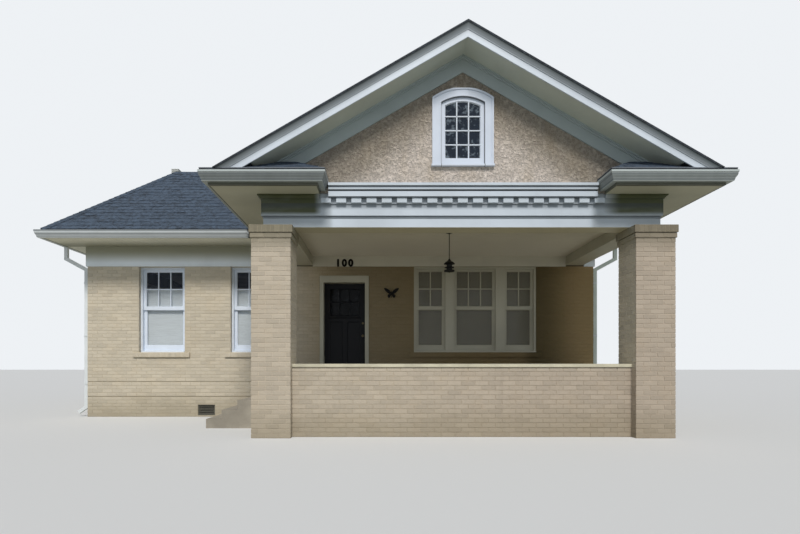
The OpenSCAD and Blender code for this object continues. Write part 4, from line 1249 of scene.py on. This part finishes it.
    def row_on_edge(self, origin: Pair, along: Pair, out: Pair, length: float, low: float,
                    high: float) -> list[Piece]:
        """Lay a row of bricks on edge.

        Args:
            origin: where it starts.
            along: its direction.
            out: the side that it faces.
            length: how long it is.
            low: its foot.
            high: its head.

        Returns:
            Its bricks.
        """
        count = round(length / self.rowlock)
        step, half = length / count, self.joint / 2
        panel = Panel(origin, along, out, length, ())
        return [self.brick(panel, i * step, (i + 1) * step, low - half, high + half, depth=0.75)
                for i in range(count)]

    def build(self, laying: Laying) -> None:
        """Lay every wall as a piece of its own.

        Args:
            laying: the tree that lays them.
        """
        unit = unit_block("brick_unit", (0.014, 0.045), 0.62)
        rows = [(name, [p for panel in panels for p in self.pieces(panel)], seed)
                for seed, (name, panels) in enumerate(self.walls().items())]
        for name, pieces, seed in [*rows, ("bricks_on_edge", self.rowlocks(), 40)]:
            finished(laying.lay(name, pieces, unit, Finishes.BRICK, self.jitter, seed), "brick")
        bpy.data.objects.remove(unit)


@dataclass
class Slope:
    """One roof slope that shingles cover, in plan millimetres.

    start is its lower corner, along its lower edge and inward the way up in plan. reach is its
    depth in plan. cuts are planes, each a point and the direction that is cut away. keep tells
    whether a tab with its middle at that point shows.
    """
    name: str
    start: Triple
    along: Triple
    inward: Pair
    pitch: float
    width: float
    reach: float
    cuts: Sequence[tuple[Triple, Triple]]
    keep: Callable[[float, float, float], bool] = lambda x, y, z: True


@dataclass
class Roofing:
    """Laminated shingles on the slopes, their caps on hips and ridges, and the edges' trim."""
    exposure: float = 137.0
    thin: float = 5.0
    thick: float = 10.0
    thick_share: float = 0.42
    widths: Pair = (105.0, 260.0)
    narrowest: float = 12.0
    gap: float = 0.8
    tuck: float = 3.0
    jitter: float = 0.0012
    hip_pitch: float = 0.936
    edge_z: float = 3880.0
    deck_z: float = 5744.0
    corner: Pair = (-505.0, -815.0)
    back: float = 8905.0
    valley: float = 6940.0
    rake: float = -3850.0
    fascia: float = -3830.0
    crown: tuple[Pair, ...] = ((15, 0), (15, 30), (24, 30), (32, 27), (60, 23), (88, 17), (108, 9),
                               (116, 9), (116, 0))
    edging: Rect = (-15.0, 18.0, -16.0, 2.0)
    gable_half: float = 3850.0
    gutter_top: float = 4010.0
    gutter_x: Pair = (2085.0, 3925.0)
    gutter_y: Triple = (-3850.0, -3700.0, -3330.0)
    lap: float = 60.0
    return_pitch: float = 0.56
    return_y: Pair = (-3830.0, -3320.0)
    return_z: float = 4007.0
    return_x: Pair = (2105.0, 3803.0)
    return_drop: float = 228.0
    cap_exposure: float = 0.14
    cap_wing: float = 0.125

    def rear(self, z: float) -> float:
        """Where the rear slope reaches a height, in plan."""
        return self.back - (z - self.edge_z) / self.hip_pitch

    def gable_height(self, x: float) -> float:
        """Height of the gabled roof over a plan point."""
        return PEAK[1] - GABLE_PITCH * abs(x - PEAK[0])

    def corners(self) -> tuple[Triple, Triple, Triple, Triple]:
        """Work out where the hips and the ridge end.

        Returns:
            The hips' feet at front and back, the ridge's rear end and the right rear foot.
        """
        (x0, y0), (cx, top) = self.corner, PEAK
        foot_z = top - GABLE_PITCH * self.gable_half
        return ((x0, y0, self.edge_z), (x0, self.back, self.edge_z), (cx, self.rear(top), top),
                (cx + self.gable_half, self.rear(foot_z), foot_z))

    def slopes(self) -> list[Slope]:
        """Lay out all the slopes of the two roofs and of the returns.

        Returns:
            The slopes, in the order in which they are laid.
        """
        h, g, (cx, top), half = self.hip_pitch, GABLE_PITCH, PEAK, self.gable_half
        front, rear, end, foot = self.corners()
        x0, y0, z0 = front
        deck, behind = (self.deck_z - z0) / h, (foot, (g, -h, 0.0))

        def over_gutter(x: float, y: float, z: float) -> bool:
            """Is this clear of the gutter's front corner?"""
            return y > self.gutter_y[1] or z > self.gutter_top + 2

        def on_gable(x: float, y: float, z: float) -> bool:
            """Is the gabled roof's left slope over the hipped roof here?

            Args:
                x: the point's place across the house.
                y: its place behind the front.
                z: its height.

            Returns:
                Whether a tab shows here.
            """
            hip = min(self.deck_z, z0 + h * min(x - x0, y - y0, self.back - y))
            over = self.gable_height(x) > hip - self.lap or y < y0 - self.lap / 2
            return over and over_gutter(x, y, z)

        def on_hip(x: float, y: float, z: float) -> bool:
            """Is the hipped roof over the gabled one here?"""
            return self.gable_height(x) < z + self.lap or x < cx - half

        return [
            Slope("shingles_front", front, (1, 0, 0), (0, 1), h, self.valley - x0, deck,
                  [(front, (-1.0, 1.0, 0.0))], on_hip),
            Slope("shingles_left", rear, (0, -1, 0), (1, 0), h, self.back - y0, deck,
                  [(front, (1.0, -1.0, 0.0)), (rear, (1.0, 1.0, 0.0))]),
            Slope("shingles_back", (cx + half, self.back, z0), (-1, 0, 0), (0, -1), h,
                  cx + half - x0, deck, [(rear, (-1.0, -1.0, 0.0)), behind]),
            Slope("shingles_back_peak", (cx + 700, self.back - deck, self.deck_z), (-1, 0, 0),
                  (0, -1), h, 1400, (top - self.deck_z) / h, [(end, (-g, -h, 0.0)), behind]),
            Slope("shingles_gable_left", (cx - half, self.back, foot[2]), (0, -1, 0), (1, 0), g,
                  self.back - self.rake, half, [(end, (g, h, 0.0))], on_gable),
            Slope("shingles_gable_right", (cx + half, self.rake, foot[2]), (0, 1, 0), (-1, 0), g,
                  self.back - self.rake, half, [(foot, (-g, h, 0.0))], over_gutter),
        ] + self.return_slopes()

    def return_slopes(self) -> list[Slope]:
        """Lay out the little hipped roofs on the two cornice returns.

        Returns:
            Two slopes for each return.
        """
        (y0, y1), z, (inner, outer), cx = self.return_y, self.return_z, self.return_x, PEAK[0]
        found = []
        for side, name in ((-1, "left"), (1, "right")):
            hip = (cx + side * inner, y0, z)
            rake = ((cx, y0, PEAK[1] - self.return_drop), (side * GABLE_PITCH, 0.0, 1.0))
            found += [
                Slope(f"shingles_return_{name}", (cx + min(side * inner, side * outer), y0, z),
                      (1, 0, 0), (0, 1), self.return_pitch, outer - inner, y1 - y0,
                      [(hip, (-side, 1.0, 0.0)), rake]),
                Slope(f"shingles_return_end_{name}", (hip[0], y1 if side > 0 else y0, z),
                      (0, -side, 0), (side, 0), self.return_pitch, y1 - y0, y1 - y0,
                      [(hip, (side, -1.0, 0.0)), rake])]
        return found

    def tabs(self, slope: Slope, seed: int) -> list[Piece]:
        """Lay one slope course by course.

        Args:
            slope: the slope.
            seed: seed of the tabs' widths and thicknesses.

        Returns:
            Its tabs.
        """
        pick = random.Random(seed)
        lean = math.hypot(1, slope.pitch)
        u = Vector(slope.along)
        v = Vector((slope.inward[0] / lean, slope.inward[1] / lean, slope.pitch / lean))
        turn = tuple(Matrix((u, v, u.cross(v))).transposed().to_euler())
        rows = math.ceil(slope.reach * lean / self.exposure)
        step = slope.reach * lean / rows
        found = []
        for row in range(rows):
            place = -pick.uniform(0, self.widths[0])
            while place < slope.width:
                wide = pick.uniform(*self.widths)
                a, b = max(place, 0), min(place + wide, slope.width)
                place += wide
                spot = Vector(slope.start) + u * (a + b) / 2 + v * row * step
                if b - a >= self.narrowest and slope.keep(*(spot + v * step / 2)):
                    butt = self.thick if pick.random() < self.thick_share else self.thin
                    size = tuple(c / 1000 for c in (b - a - self.gap, step + self.tuck, butt))
                    found.append(Piece(at(*spot), turn, size))
        return found

    @staticmethod
    def unit_tab() -> Thing:
        """Make a wedge one metre wide and long, thick at its lower end.

        Returns:
            The wedge, from -0.5 to 0.5 in x and from 0 to 1 in y.
        """
        bm = bmesh.new()
        skin(bm, [[(x, y, z) for y, z in ((0.0, -0.3), (0.0, 1.0), (1.0, 0.12), (1.0, -0.3))]
                  for x in (-0.5, 0.5)])
        return from_bmesh("tab_unit", bm)

    def trim(self, piece: Thing, slope: Slope) -> None:
        """Cut a slope's tabs at its hips and close the cut ends.

        Args:
            piece: the tabs.
            slope: the slope, with its cuts.
        """
        bm = bmesh.new()
        bm.from_mesh(piece.data)
        for point, away in slope.cuts:
            cut = bmesh.ops.bisect_plane(
                bm, geom=[*bm.verts, *bm.edges, *bm.faces], dist=1e-6, plane_co=at(*point),
                plane_no=Vector(away).normalized(), clear_outer=True)
            edges = [e for e in cut["geom_cut"] if isinstance(e, bmesh.types.BMEdge)]
            bmesh.ops.holes_fill(bm, edges=edges, sides=8)
        bm.to_mesh(piece.data)
        bm.free()

    def caps(self) -> None:
        """Cap every hip and ridge, from one end to the other."""
        h, g = self.hip_pitch, GABLE_PITCH
        front, rear, end, foot = self.corners()
        (x0, y0, z0), (cx, top) = front, PEAK
        run = (self.deck_z - z0) / h
        south, west, north = Vector((0, -1, -h)), Vector((-1, 0, -h)), Vector((0, 1, -h))
        left, right = Vector((-1, 0, -g)), Vector((1, 0, -g))
        bm = bmesh.new()
        tone = bm.verts.layers.float.new("tone")
        pick = random.Random(7)
        for low, high, sides in (
                (front, (x0 + run, y0 + run, self.deck_z), (south, west)),
                (rear, (x0 + run, self.back - run, self.deck_z), (west, north)),
                (end, (cx, self.rake + 4, top), (left, right)), (foot, end, (north, right)),
                ((cx - (top - self.deck_z) / g, self.back - run, self.deck_z), end,
                 (left, north))):
            self.cap_row(bm, tone, at(*low), at(*high), sides, pick)
        finished(from_bmesh("hip_and_ridge_caps", bm), "shingles", Finishes.SHINGLE)

    def cap_row(self, bm: Builder, tone: bmesh.types.BMLayerItem, low: Vector, high: Vector,
                sides: tuple[Vector, Vector], pick: random.Random) -> None:
        """Lay bent caps along one hip or ridge.

        Args:
            bm: the mesh that takes them.
            tone: its layer of tones.
            low: where the row starts.
            high: where it ends.
            sides: directions down the two slopes.
            pick: source of the tones.
        """
        ahead, long = (high - low).normalized(), (high - low).length
        wings = []
        for s in sides:
            normal = s.cross(Vector((s.y, -s.x, 0))).normalized()
            normal = normal if normal.z > 0 else -normal
            wing = ahead.cross(normal)
            wings.append((wing if wing.dot(s) > 0 else -wing, normal))
        lift = (wings[0][1] + wings[1][1]).normalized()
        count = max(2, round(long / self.cap_exposure))
        step = long / count
        for i in range(count):
            shade = pick.random()
            rings = []
            for along, up in ((i * step, 0.019), ((i + 1) * step + 0.02, 0.011)):
                base = low + ahead * min(along, long)
                spine = base + lift * up
                reach = [spine + w * self.cap_wing + n * 0.001 for w, n in wings]
                under = [base + w * self.cap_wing - n * 0.004 for w, n in wings]
                rings.append((reach[0], spine, reach[1], under[1], base - lift * 0.01, under[0]))
            for vert in sum(skin(bm, rings), []):
                vert[tone] = shade

    def along_rakes(self, name: str, section: Iterable[Pair], slot: str,
                    finish: Finish) -> None:
        """Run a moulding down both rakes to the gutters' tops.

        Args:
            name: the piece's name.
            section: its corners, each a drop below the ridge and a place in y.
            slot: its slot in the record.
            finish: its finish.
        """
        cx, top = PEAK
        lines = []
        for drop, y in section:
            reach = (top - drop - self.gutter_top) / GABLE_PITCH
            lines.append([at(cx + x, y, top - drop - GABLE_PITCH * abs(x))
                          for x in (-reach, 0.0, reach)])
        bm = bmesh.new()
        skin(bm, zip(*lines))
        finished(from_bmesh(name, bm), slot, finish)

    def gutter_caps(self) -> None:
        """Shingle edge and metal drip edge that lie on the porch gutters' lips."""
        cx, top = PEAK[0], self.gutter_top
        (x0, x1), (front, back, end) = self.gutter_x, self.gutter_y
        # The shingle edge wears the dark edge felt: painted shade under the drip edge.
        for name, (d0, d1), (z0, z1), slot, finish in (
                ("gutter_edge_courses", (3.0, 20.0), (top - 31, top - 8), "shingles",
                 Finishes.UNDERLAY),
                ("gutter_drip_edges", (0.0, 22.0), (top - 8, top), "gutter", Finishes.DRIP)):
            bm = bmesh.new()
            for side in (-1, 1):
                skin(bm, zip(*([at(cx + side * x, y, z) for x, y in (
                    (x0 + d, end), (x0 + d, front + d), (x1 - d, front + d), (x1 - d, back))]
                    for d, z in ((d0, z0), (d0, z1), (d1, z1), (d1, z0)))))
            finished(from_bmesh(name, bm), slot, finish)

    def build(self, laying: Laying) -> None:
        """Cover each slope, trim its edges and cap the hips and ridges.

        Args:
            laying: the tree that lays the tabs.
        """
        unit = self.unit_tab()
        for seed, slope in enumerate(self.slopes()):
            made = laying.lay(slope.name, self.tabs(slope, 100 + seed), unit, Finishes.SHINGLE,
                              self.jitter, 200 + seed)
            self.trim(made, slope)
            finished(made, "shingles")
        bpy.data.objects.remove(unit)
        high, low, outer, inner = self.edging
        # The rake strips wear the dark edge felt: the shingles' edge, darkened as painted shade.
        self.along_rakes("rake_strips", [(drop, self.rake + y) for drop, y in (
            (high, outer), (low, outer), (low, inner), (high, inner))], "shingles",
            Finishes.UNDERLAY)
        self.along_rakes("rake_crown", [(drop, self.fascia - out) for drop, out in self.crown],
                         "trim", Finishes.CROWN)
        self.gutter_caps()
        self.caps()


@dataclass
class Wall:
    """A stretch of wall that joinery is added to.

    Places on it are in millimetres across, behind and up from one corner. It runs along and
    faces out.
    """
    bm: Builder
    corner: Pair
    along: Pair = (1.0, 0.0)
    out: Pair = (0.0, -1.0)

    def points(self, places: Iterable[Triple]) -> list[Vector]:
        """Those places of the wall in the frame."""
        (x, y), (ax, ay), (ox, oy) = self.corner, self.along, self.out
        return [at(x + ax * u - ox * v, y + ay * u - oy * v, z) for u, v, z in places]

    def stick(self, a: Pair, b: Pair, width: float, depth: Triple) -> None:
        """Add a moulded bar between two points of the glass.

        Args:
            a: one end, across and up.
            b: the other end.
            width: the bar's width.
            depth: its outer face, its shoulder and its inner face behind the wall's face.
        """
        line = (Vector(b) - Vector(a)).normalized()
        out, shoulder, inside = depth
        section = ((-0.28, out), (0.28, out), (0.5, shoulder), (0.5, inside), (-0.5, inside),
                   (-0.5, shoulder))
        skin(self.bm, [self.points((end[0] - line.y * s * width, y, end[1] + line.x * s * width)
                                   for s, y in section) for end in (a, b)])

    def bead(self, rect: Rect, face: float, glass: float, width: float) -> None:
        """Add a sloping bead round the inside of an opening.

        Args:
            rect: the opening's sides, left, right, bottom and top.
            face: depth of the bead's outer edge.
            glass: depth of its inner edge.
            width: how far it reaches into the opening.
        """
        x0, x1, z0, z1 = rect
        skin(self.bm, [self.points((
            (x0 + inset, y, z0 + inset), (x1 - inset, y, z0 + inset),
            (x1 - inset, y, z1 - inset), (x0 + inset, y, z1 - inset)))
            for inset, y in ((0, face), (width, glass), (0, glass))], endless=True)

    def lattice(self, rect: Rect, panes: tuple[int, int], width: float, depth: Triple) -> None:
        """Add the bars that divide an opening evenly.

        Args:
            rect: the opening's sides.
            panes: how many panes it has across and up.
            width: the bars' width.
            depth: the bars' depths.
        """
        x0, x1, z0, z1 = rect
        for k in range(1, panes[0]):
            x = x0 + (x1 - x0) * k / panes[0]
            self.stick((x, z0), (x, z1), width, depth)
        for k in range(1, panes[1]):
            z = z0 + (z1 - z0) * k / panes[1]
            self.stick((x0, z), (x1, z), width, depth)


@dataclass
class Joinery:
    """Window bars, glazing beads and the door's mouldings, in millimetres on their wall."""
    frame: float = 45.0
    stile: float = 55.0
    upper: Pair = (2401.0, 3169.0)
    lower: Pair = (1555.0, 2333.0)
    sash: Pair = (65.0, 100.0)
    bar: float = 24.0
    bar_depth: Triple = (3.0, 9.0, 32.0)
    bead: Triple = (2.0, 15.0, 11.0)
    reveal: float = 80.0
    triple: tuple[tuple[float, float, int], ...] = ((100, 528, 2), (932, 793, 3), (2029, 528, 2))
    arch_at: Pair = (PEAK[0], -3320.0)
    arch_radius: float = 609.0
    arch_centre: float = 4622.0
    arch_foot: float = 4342.0
    arch_half: float = 276.0
    arch_bar: float = 21.0
    arch_bars: Triple = (4552.0, 4773.0, 4993.0)
    arch_depth: Triple = (3.0, 9.0, 21.0)
    arch_bead: Triple = (6.0, 20.5, 10.0)
    door_glass: Rect = (5242.0, 5901.0, 2212.0, 2809.0)
    door_panels: tuple[Rect, ...] = ((5242.0, 5521.5, 1013.0, 2082.0),
                                     (5621.5, 5901.0, 1013.0, 2082.0))
    door_bar: tuple[float, Triple] = (26.0, (207.0, 214.0, 247.0))
    door_beads: tuple[Triple, ...] = ((206.0, 224.0, 13.0), (205.5, 217.0, 16.0),
                                      (249.5, 238.0, 16.0))

    def pair(self, wall: Wall, x0: float, x1: float, across: int) -> None:
        """Dress the upper and the lower sash of one window.

        Args:
            wall: the wall that it lies in.
            x0: the glass's left side.
            x1: its right side.
            across: panes across the upper sash.
        """
        for (z0, z1), face, panes in ((self.upper, self.sash[0], (across, 2)),
                                      (self.lower, self.sash[1], (1, 1))):
            rect = (x0, x1, z0, z1)
            wall.lattice(rect, panes, self.bar, tuple(face + d for d in self.bar_depth))
            wall.bead(rect, face + self.bead[0], face + self.bead[1], self.bead[2])

    def build(self) -> None:
        """Make the bars and beads of all the windows and of the door."""
        bm = bmesh.new()
        inset = self.frame + self.stile
        for (x, y), along, out in single_windows():
            corner = (x - out[0] * self.reveal, y - out[1] * self.reveal)
            self.pair(Wall(bm, corner, along, out), inset, WINDOW_W - inset, 3)
        finished(from_bmesh("window_bars", bm), "trim", Finishes.CASING)
        bm = bmesh.new()
        for x, wide, across in self.triple:
            self.pair(Wall(bm, (TRIPLE_X, 0)), x, x + wide, across)
        finished(from_bmesh("porch_window_bars", bm), "trim", Finishes.PORCH_TRIM)
        self.arched_bars()
        self.door_mouldings()

    def arched_bars(self) -> None:
        """Three by four panes in the arched window, and the bead that follows its arch."""
        bm = bmesh.new()
        wall = Wall(bm, self.arch_at)
        half, foot, depth = self.arch_half, self.arch_foot, self.arch_depth
        face, glass, width = self.arch_bead

        def arch(x: float) -> float:
            """Height of the arch at a distance from the middle."""
            return self.arch_centre + math.sqrt(self.arch_radius ** 2 - x * x)

        for x in (-half / 3, half / 3):
            wall.stick((x, foot), (x, arch(x)), self.arch_bar, depth)
        for z in self.arch_bars:
            wall.stick((-half, z), (half, z), self.arch_bar, depth)
        outline = [(-half, foot), (half, foot)]
        outline += [(x, arch(x)) for x in (half * math.cos(math.pi * t / 20) for t in range(21))]
        skin(bm, [wall.points((x - inset * x / half, y, z + (inset if z == foot else -inset))
                              for x, z in outline)
                  for inset, y in ((0.0, face), (width, glass), (0.0, glass))], endless=True)
        finished(from_bmesh("arched_bars", bm), "trim", Finishes.ARCH_BARS)

    def door_mouldings(self) -> None:
        """Bars in the door's glass and the ogee round its panels."""
        bm = bmesh.new()
        wall = Wall(bm, (0, 0))
        round_glass, *round_panels = self.door_beads
        wall.lattice(self.door_glass, (3, 2), *self.door_bar)
        wall.bead(self.door_glass, *round_glass)
        for panel in self.door_panels:
            for bead in round_panels:
                wall.bead(panel, *bead)
        finished(from_bmesh("door_mouldings", bm), "door_paint", Finishes.DOOR, Body.DOOR)


@dataclass
class Ornaments:
    """House number, wall ornament and the small fittings."""
    number: str = "100"
    number_at: Triple = (5596.0, -38.0, 3268.0)
    lettering: tuple[tuple[str, float], ...] = (("size", 0.205), ("extrude", 0.006),
                                                ("offset", 0.0115), ("space_character", 1.34))
    butterfly_at: Pair = (6600.0, 2672.0)
    upper_wing: tuple[Pair, ...] = ((0, 6), (12, 34), (34, 66), (84, 104), (132, 122), (160, 120),
                                    (158, 98), (132, 58), (92, 20), (40, -4))
    lower_wing: tuple[Pair, ...] = ((0, -2), (38, -8), (74, -20), (88, -44), (78, -74), (58, -96),
                                    (40, -84), (20, -54), (6, -26))
    pressed: tuple[Pair, ...] = ((1.0, -14.0), (1.0, -22.0), (0.9, -27.0))
    bend: float = 0.12
    trunk: Triple = (0.007, 0.008, 0.013)
    feeler: tuple[Pair, ...] = ((6, 56), (18, 92), (34, 118))
    wire: float = 0.0016
    strap_x: Pair = (6.5, 114.0)
    strap_y: Pair = (52.0, 136.0)
    strap_z: Triple = (700.0, 1750.0, 2900.0)

    def numerals(self) -> None:
        """Plain metal numerals on the frieze over the door."""
        curve = bpy.data.curves.new("house_number", "FONT")
        curve.body = self.number
        for name, value in self.lettering:
            setattr(curve, name, value)
        holder = new_object("house_number_text", curve)
        graph = bpy.context.evaluated_depsgraph_get()
        mesh = bpy.data.meshes.new_from_object(holder.evaluated_get(graph))
        bpy.data.objects.remove(holder)
        xs = [v.co.x for v in mesh.vertices]
        mesh.transform(Matrix.Translation(at(*self.number_at))
                       @ Matrix.Rotation(math.radians(90), 4, "X")
                       @ Matrix.Translation((-(min(xs) + max(xs)) / 2, 0, 0)))
        mesh.name = "house_number"
        finished(new_object("house_number", mesh), "lantern", Finishes.IRON)

    def butterfly(self) -> None:
        """A plain pressed-metal butterfly on the wall beside the door."""
        bm = bmesh.new()
        mx, mz = self.butterfly_at
        for wing in (self.upper_wing, self.lower_wing):
            cx, cz = (sum(p[i] for p in wing) / len(wing) for i in (0, 1))
            for side in (-1, 1):
                rings = []
                for grow, y in self.pressed:
                    points = [(cx + (px - cx) * grow, cz + (pz - cz) * grow) for px, pz in wing]
                    rings.append([at(mx + side * x, y - abs(x) * self.bend, mz + z)
                                  for x, z in points])
                skin(bm, rings)
        for i in range(7):
            bmesh.ops.create_uvsphere(
                bm, u_segments=10, v_segments=6, radius=1,
                matrix=Matrix.Translation(at(mx, -20, mz + 48 - i * 20))
                @ Matrix.Diagonal((*self.trunk, 1)))
        for side in (-1, 1):
            points = [at(mx + side * x, -20, mz + z) for x, z in self.feeler]
            for a, b in zip(points, points[1:]):
                turn = (b - a).to_track_quat("Z", "Y").to_matrix().to_4x4()
                bmesh.ops.create_cone(bm, cap_ends=True, segments=6, radius1=self.wire,
                                      radius2=self.wire, depth=(b - a).length,
                                      matrix=Matrix.Translation((a + b) / 2) @ turn)
        finished(from_bmesh("wall_butterfly", bm), "lantern", Finishes.IRON)

    def straps(self) -> None:
        """Straps that hold the downspouts."""
        bm = bmesh.new()
        (near, far), (y0, y1), thick, tall = self.strap_x, self.strap_y, 2.0, 28.0
        for x0, x1 in ((-far, -near), (WIDTH + near, WIDTH + far)):
            for z in self.strap_z:
                skin(bm, [[at(a, b, level) for a, b in (
                    (x0 + t, y0 + t), (x1 - t, y0 + t), (x1 - t, y1 - t), (x0 + t, y1 - t))]
                    for level, t in ((z, 0.0), (z, thick), (z + tall, thick), (z + tall, 0.0))],
                    endless=True)
        finished(from_bmesh("spout_straps", bm), "gutter", Finishes.SPOUT)

    def build(self) -> None:
        """Make them all."""
        self.numerals()
        self.butterfly()
        self.straps()


@dataclass
class Boards:
    """Boards of the porch's ceiling, laid parallel to the front."""
    x: Pair = (4893.0, 10377.0)
    y: Pair = (-2869.0, -31.0)
    under: float = 3490.0
    pitch: float = 129.0
    gap: float = 2.5

    def build(self, laying: Laying) -> None:
        """Lay them.

        Args:
            laying: the tree that lays them.
        """
        (x0, x1), (y0, y1) = self.x, self.y
        count = round((y1 - y0) / self.pitch)
        step = (y1 - y0) / count
        turn, size = (math.radians(-90), 0.0, 0.0), ((x1 - x0) / 1000, 0.012,
                                                     (step - self.gap) / 1000)
        pieces = [Piece(at((x0 + x1) / 2, y0 + (i + 0.5) * step, self.under + 4), turn, size)
                  for i in range(count)]
        unit = unit_block("board_unit", (0.0005, 0.035), 0.7)
        finished(laying.lay("porch_ceiling_boards", pieces, unit, Finishes.CEILING, 0.0, 9),
                 "trim")
        bpy.data.objects.remove(unit)


@dataclass
class Studio:
    """Floor, light and the camera at the photograph's place, level and looking straight back."""
    eye: Triple = (6350.0, -11630.0, 1150.0)
    lens: float = 24.075
    shift: Pair = (0.025, 0.121)
    sun: float = 2.5
    fill: float = 0.335
    toward: Triple = (-0.05, 1.0, -1.0)
    warmth: Triple = (1.0, 0.965, 0.91)
    reach: float = 90.0
    bounce: Triple = (0.46, 0.46, 0.41)
    ground: Triple = (0.78, 0.79, 0.80)
    horizon: Triple = (0.90, 0.93, 0.96)
    zenith: Triple = (0.80, 0.89, 1.0)

    def camera(self) -> None:
        """Set the camera level, looking straight back."""
        data = bpy.data.cameras.new("camera")
        data.lens, data.sensor_width, data.clip_end = self.lens, 36.0, 500
        data.shift_x, data.shift_y = self.shift
        held = new_object("camera", data)
        held.location, held.rotation_euler = at(*self.eye), (math.radians(90), 0, 0)
        bpy.context.scene.camera = held

    def floor(self) -> None:
        """A wide pale floor that bounces little light under the eaves."""
        mesh = bpy.data.meshes.new("floor")
        far = self.reach
        mesh.from_pydata([(-far, -far, 0), (far, -far, 0), (far, far, 0), (-far, far, 0)], [],
                         [(0, 1, 2, 3)])
        made = bpy.data.materials.new("floor_pale")
        made.use_nodes = True
        made.node_tree.nodes.clear()
        graph = Graph(made.node_tree)
        dim, pale = (graph.value("ShaderNodeBsdfDiffuse", {"Color": (*colour, 1.0)})
                     for colour in (self.bounce, self.ground))
        graph.node("ShaderNodeOutputMaterial", {"Surface": graph.value("ShaderNodeMixShader", {
            0: graph.value("ShaderNodeLightPath", out="Is Camera Ray"), 1: dim, 2: pale})})
        mesh.materials.append(made)
        new_object("floor", mesh)

    def light(self) -> None:
        """One large sun from the street side and a sky that is palest near the horizon."""
        data = bpy.data.lights.new("key", "SUN")
        data.energy, data.angle, data.color = self.sun, math.radians(14), self.warmth
        lamp = new_object("key", data)
        lamp.rotation_euler = Vector(self.toward).to_track_quat("-Z", "Y").to_euler()
        world = bpy.data.worlds.new("sky")
        bpy.context.scene.world = world
        world.use_nodes = True
        world.node_tree.nodes.clear()
        graph = Graph(world.node_tree)
        path = graph.node("ShaderNodeLightPath").outputs
        camera, through, mirror = (Value(graph, path[f"Is {kind} Ray"])
                                   for kind in ("Camera", "Transmission", "Glossy"))
        height = graph.value("ShaderNodeSeparateXYZ",
                             {0: graph.value("ShaderNodeTexCoord", out="Generated")}, 2)
        sky = graph.value("ShaderNodeBackground", {
            "Color": (*self.zenith, 1.0),
            "Strength": (height.below(0.12, 0.55) * 2.2 + 0.55) * self.fill})
        pale = graph.value("ShaderNodeBackground",
                           {"Color": (*self.horizon, 1.0), "Strength": 0.95})
        graph.node("ShaderNodeOutputWorld", {"Surface": graph.value("ShaderNodeMixShader", {
            0: camera.most(through).most(mirror * 0.75), 1: sky, 2: pale})})

    def build(self) -> None:
        """Set up the floor, the light and the camera."""
        self.camera()
        self.floor()
        self.light()
        bpy.context.scene.view_settings.view_transform = "Standard"


def dress(nodes: dict[str, Thing]) -> None:
    """Give every carried-over piece its finish.

    Args:
        nodes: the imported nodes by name.
    """
    for name, piece in nodes.items():
        material = Finishes.WORN[name].material()
        if not piece.material_slots:
            piece.data.materials.append(material)
        for slot in piece.material_slots:
            slot.material = material
    log.info("%d carried-over pieces dressed", len(nodes))


def main() -> None:
    """Build the whole house in order."""
    logging.basicConfig(level=logging.INFO, format="%(name)s: %(message)s", force=True)
    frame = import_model()
    Studio().build()
    dress(frame["nodes"])
    laying = Laying()
    Brickwork().build(laying)
    Roofing().build(laying)
    Joinery().build()
    Boards().build(laying)
    Ornaments().build()


if __name__ == "__main__":
    main()
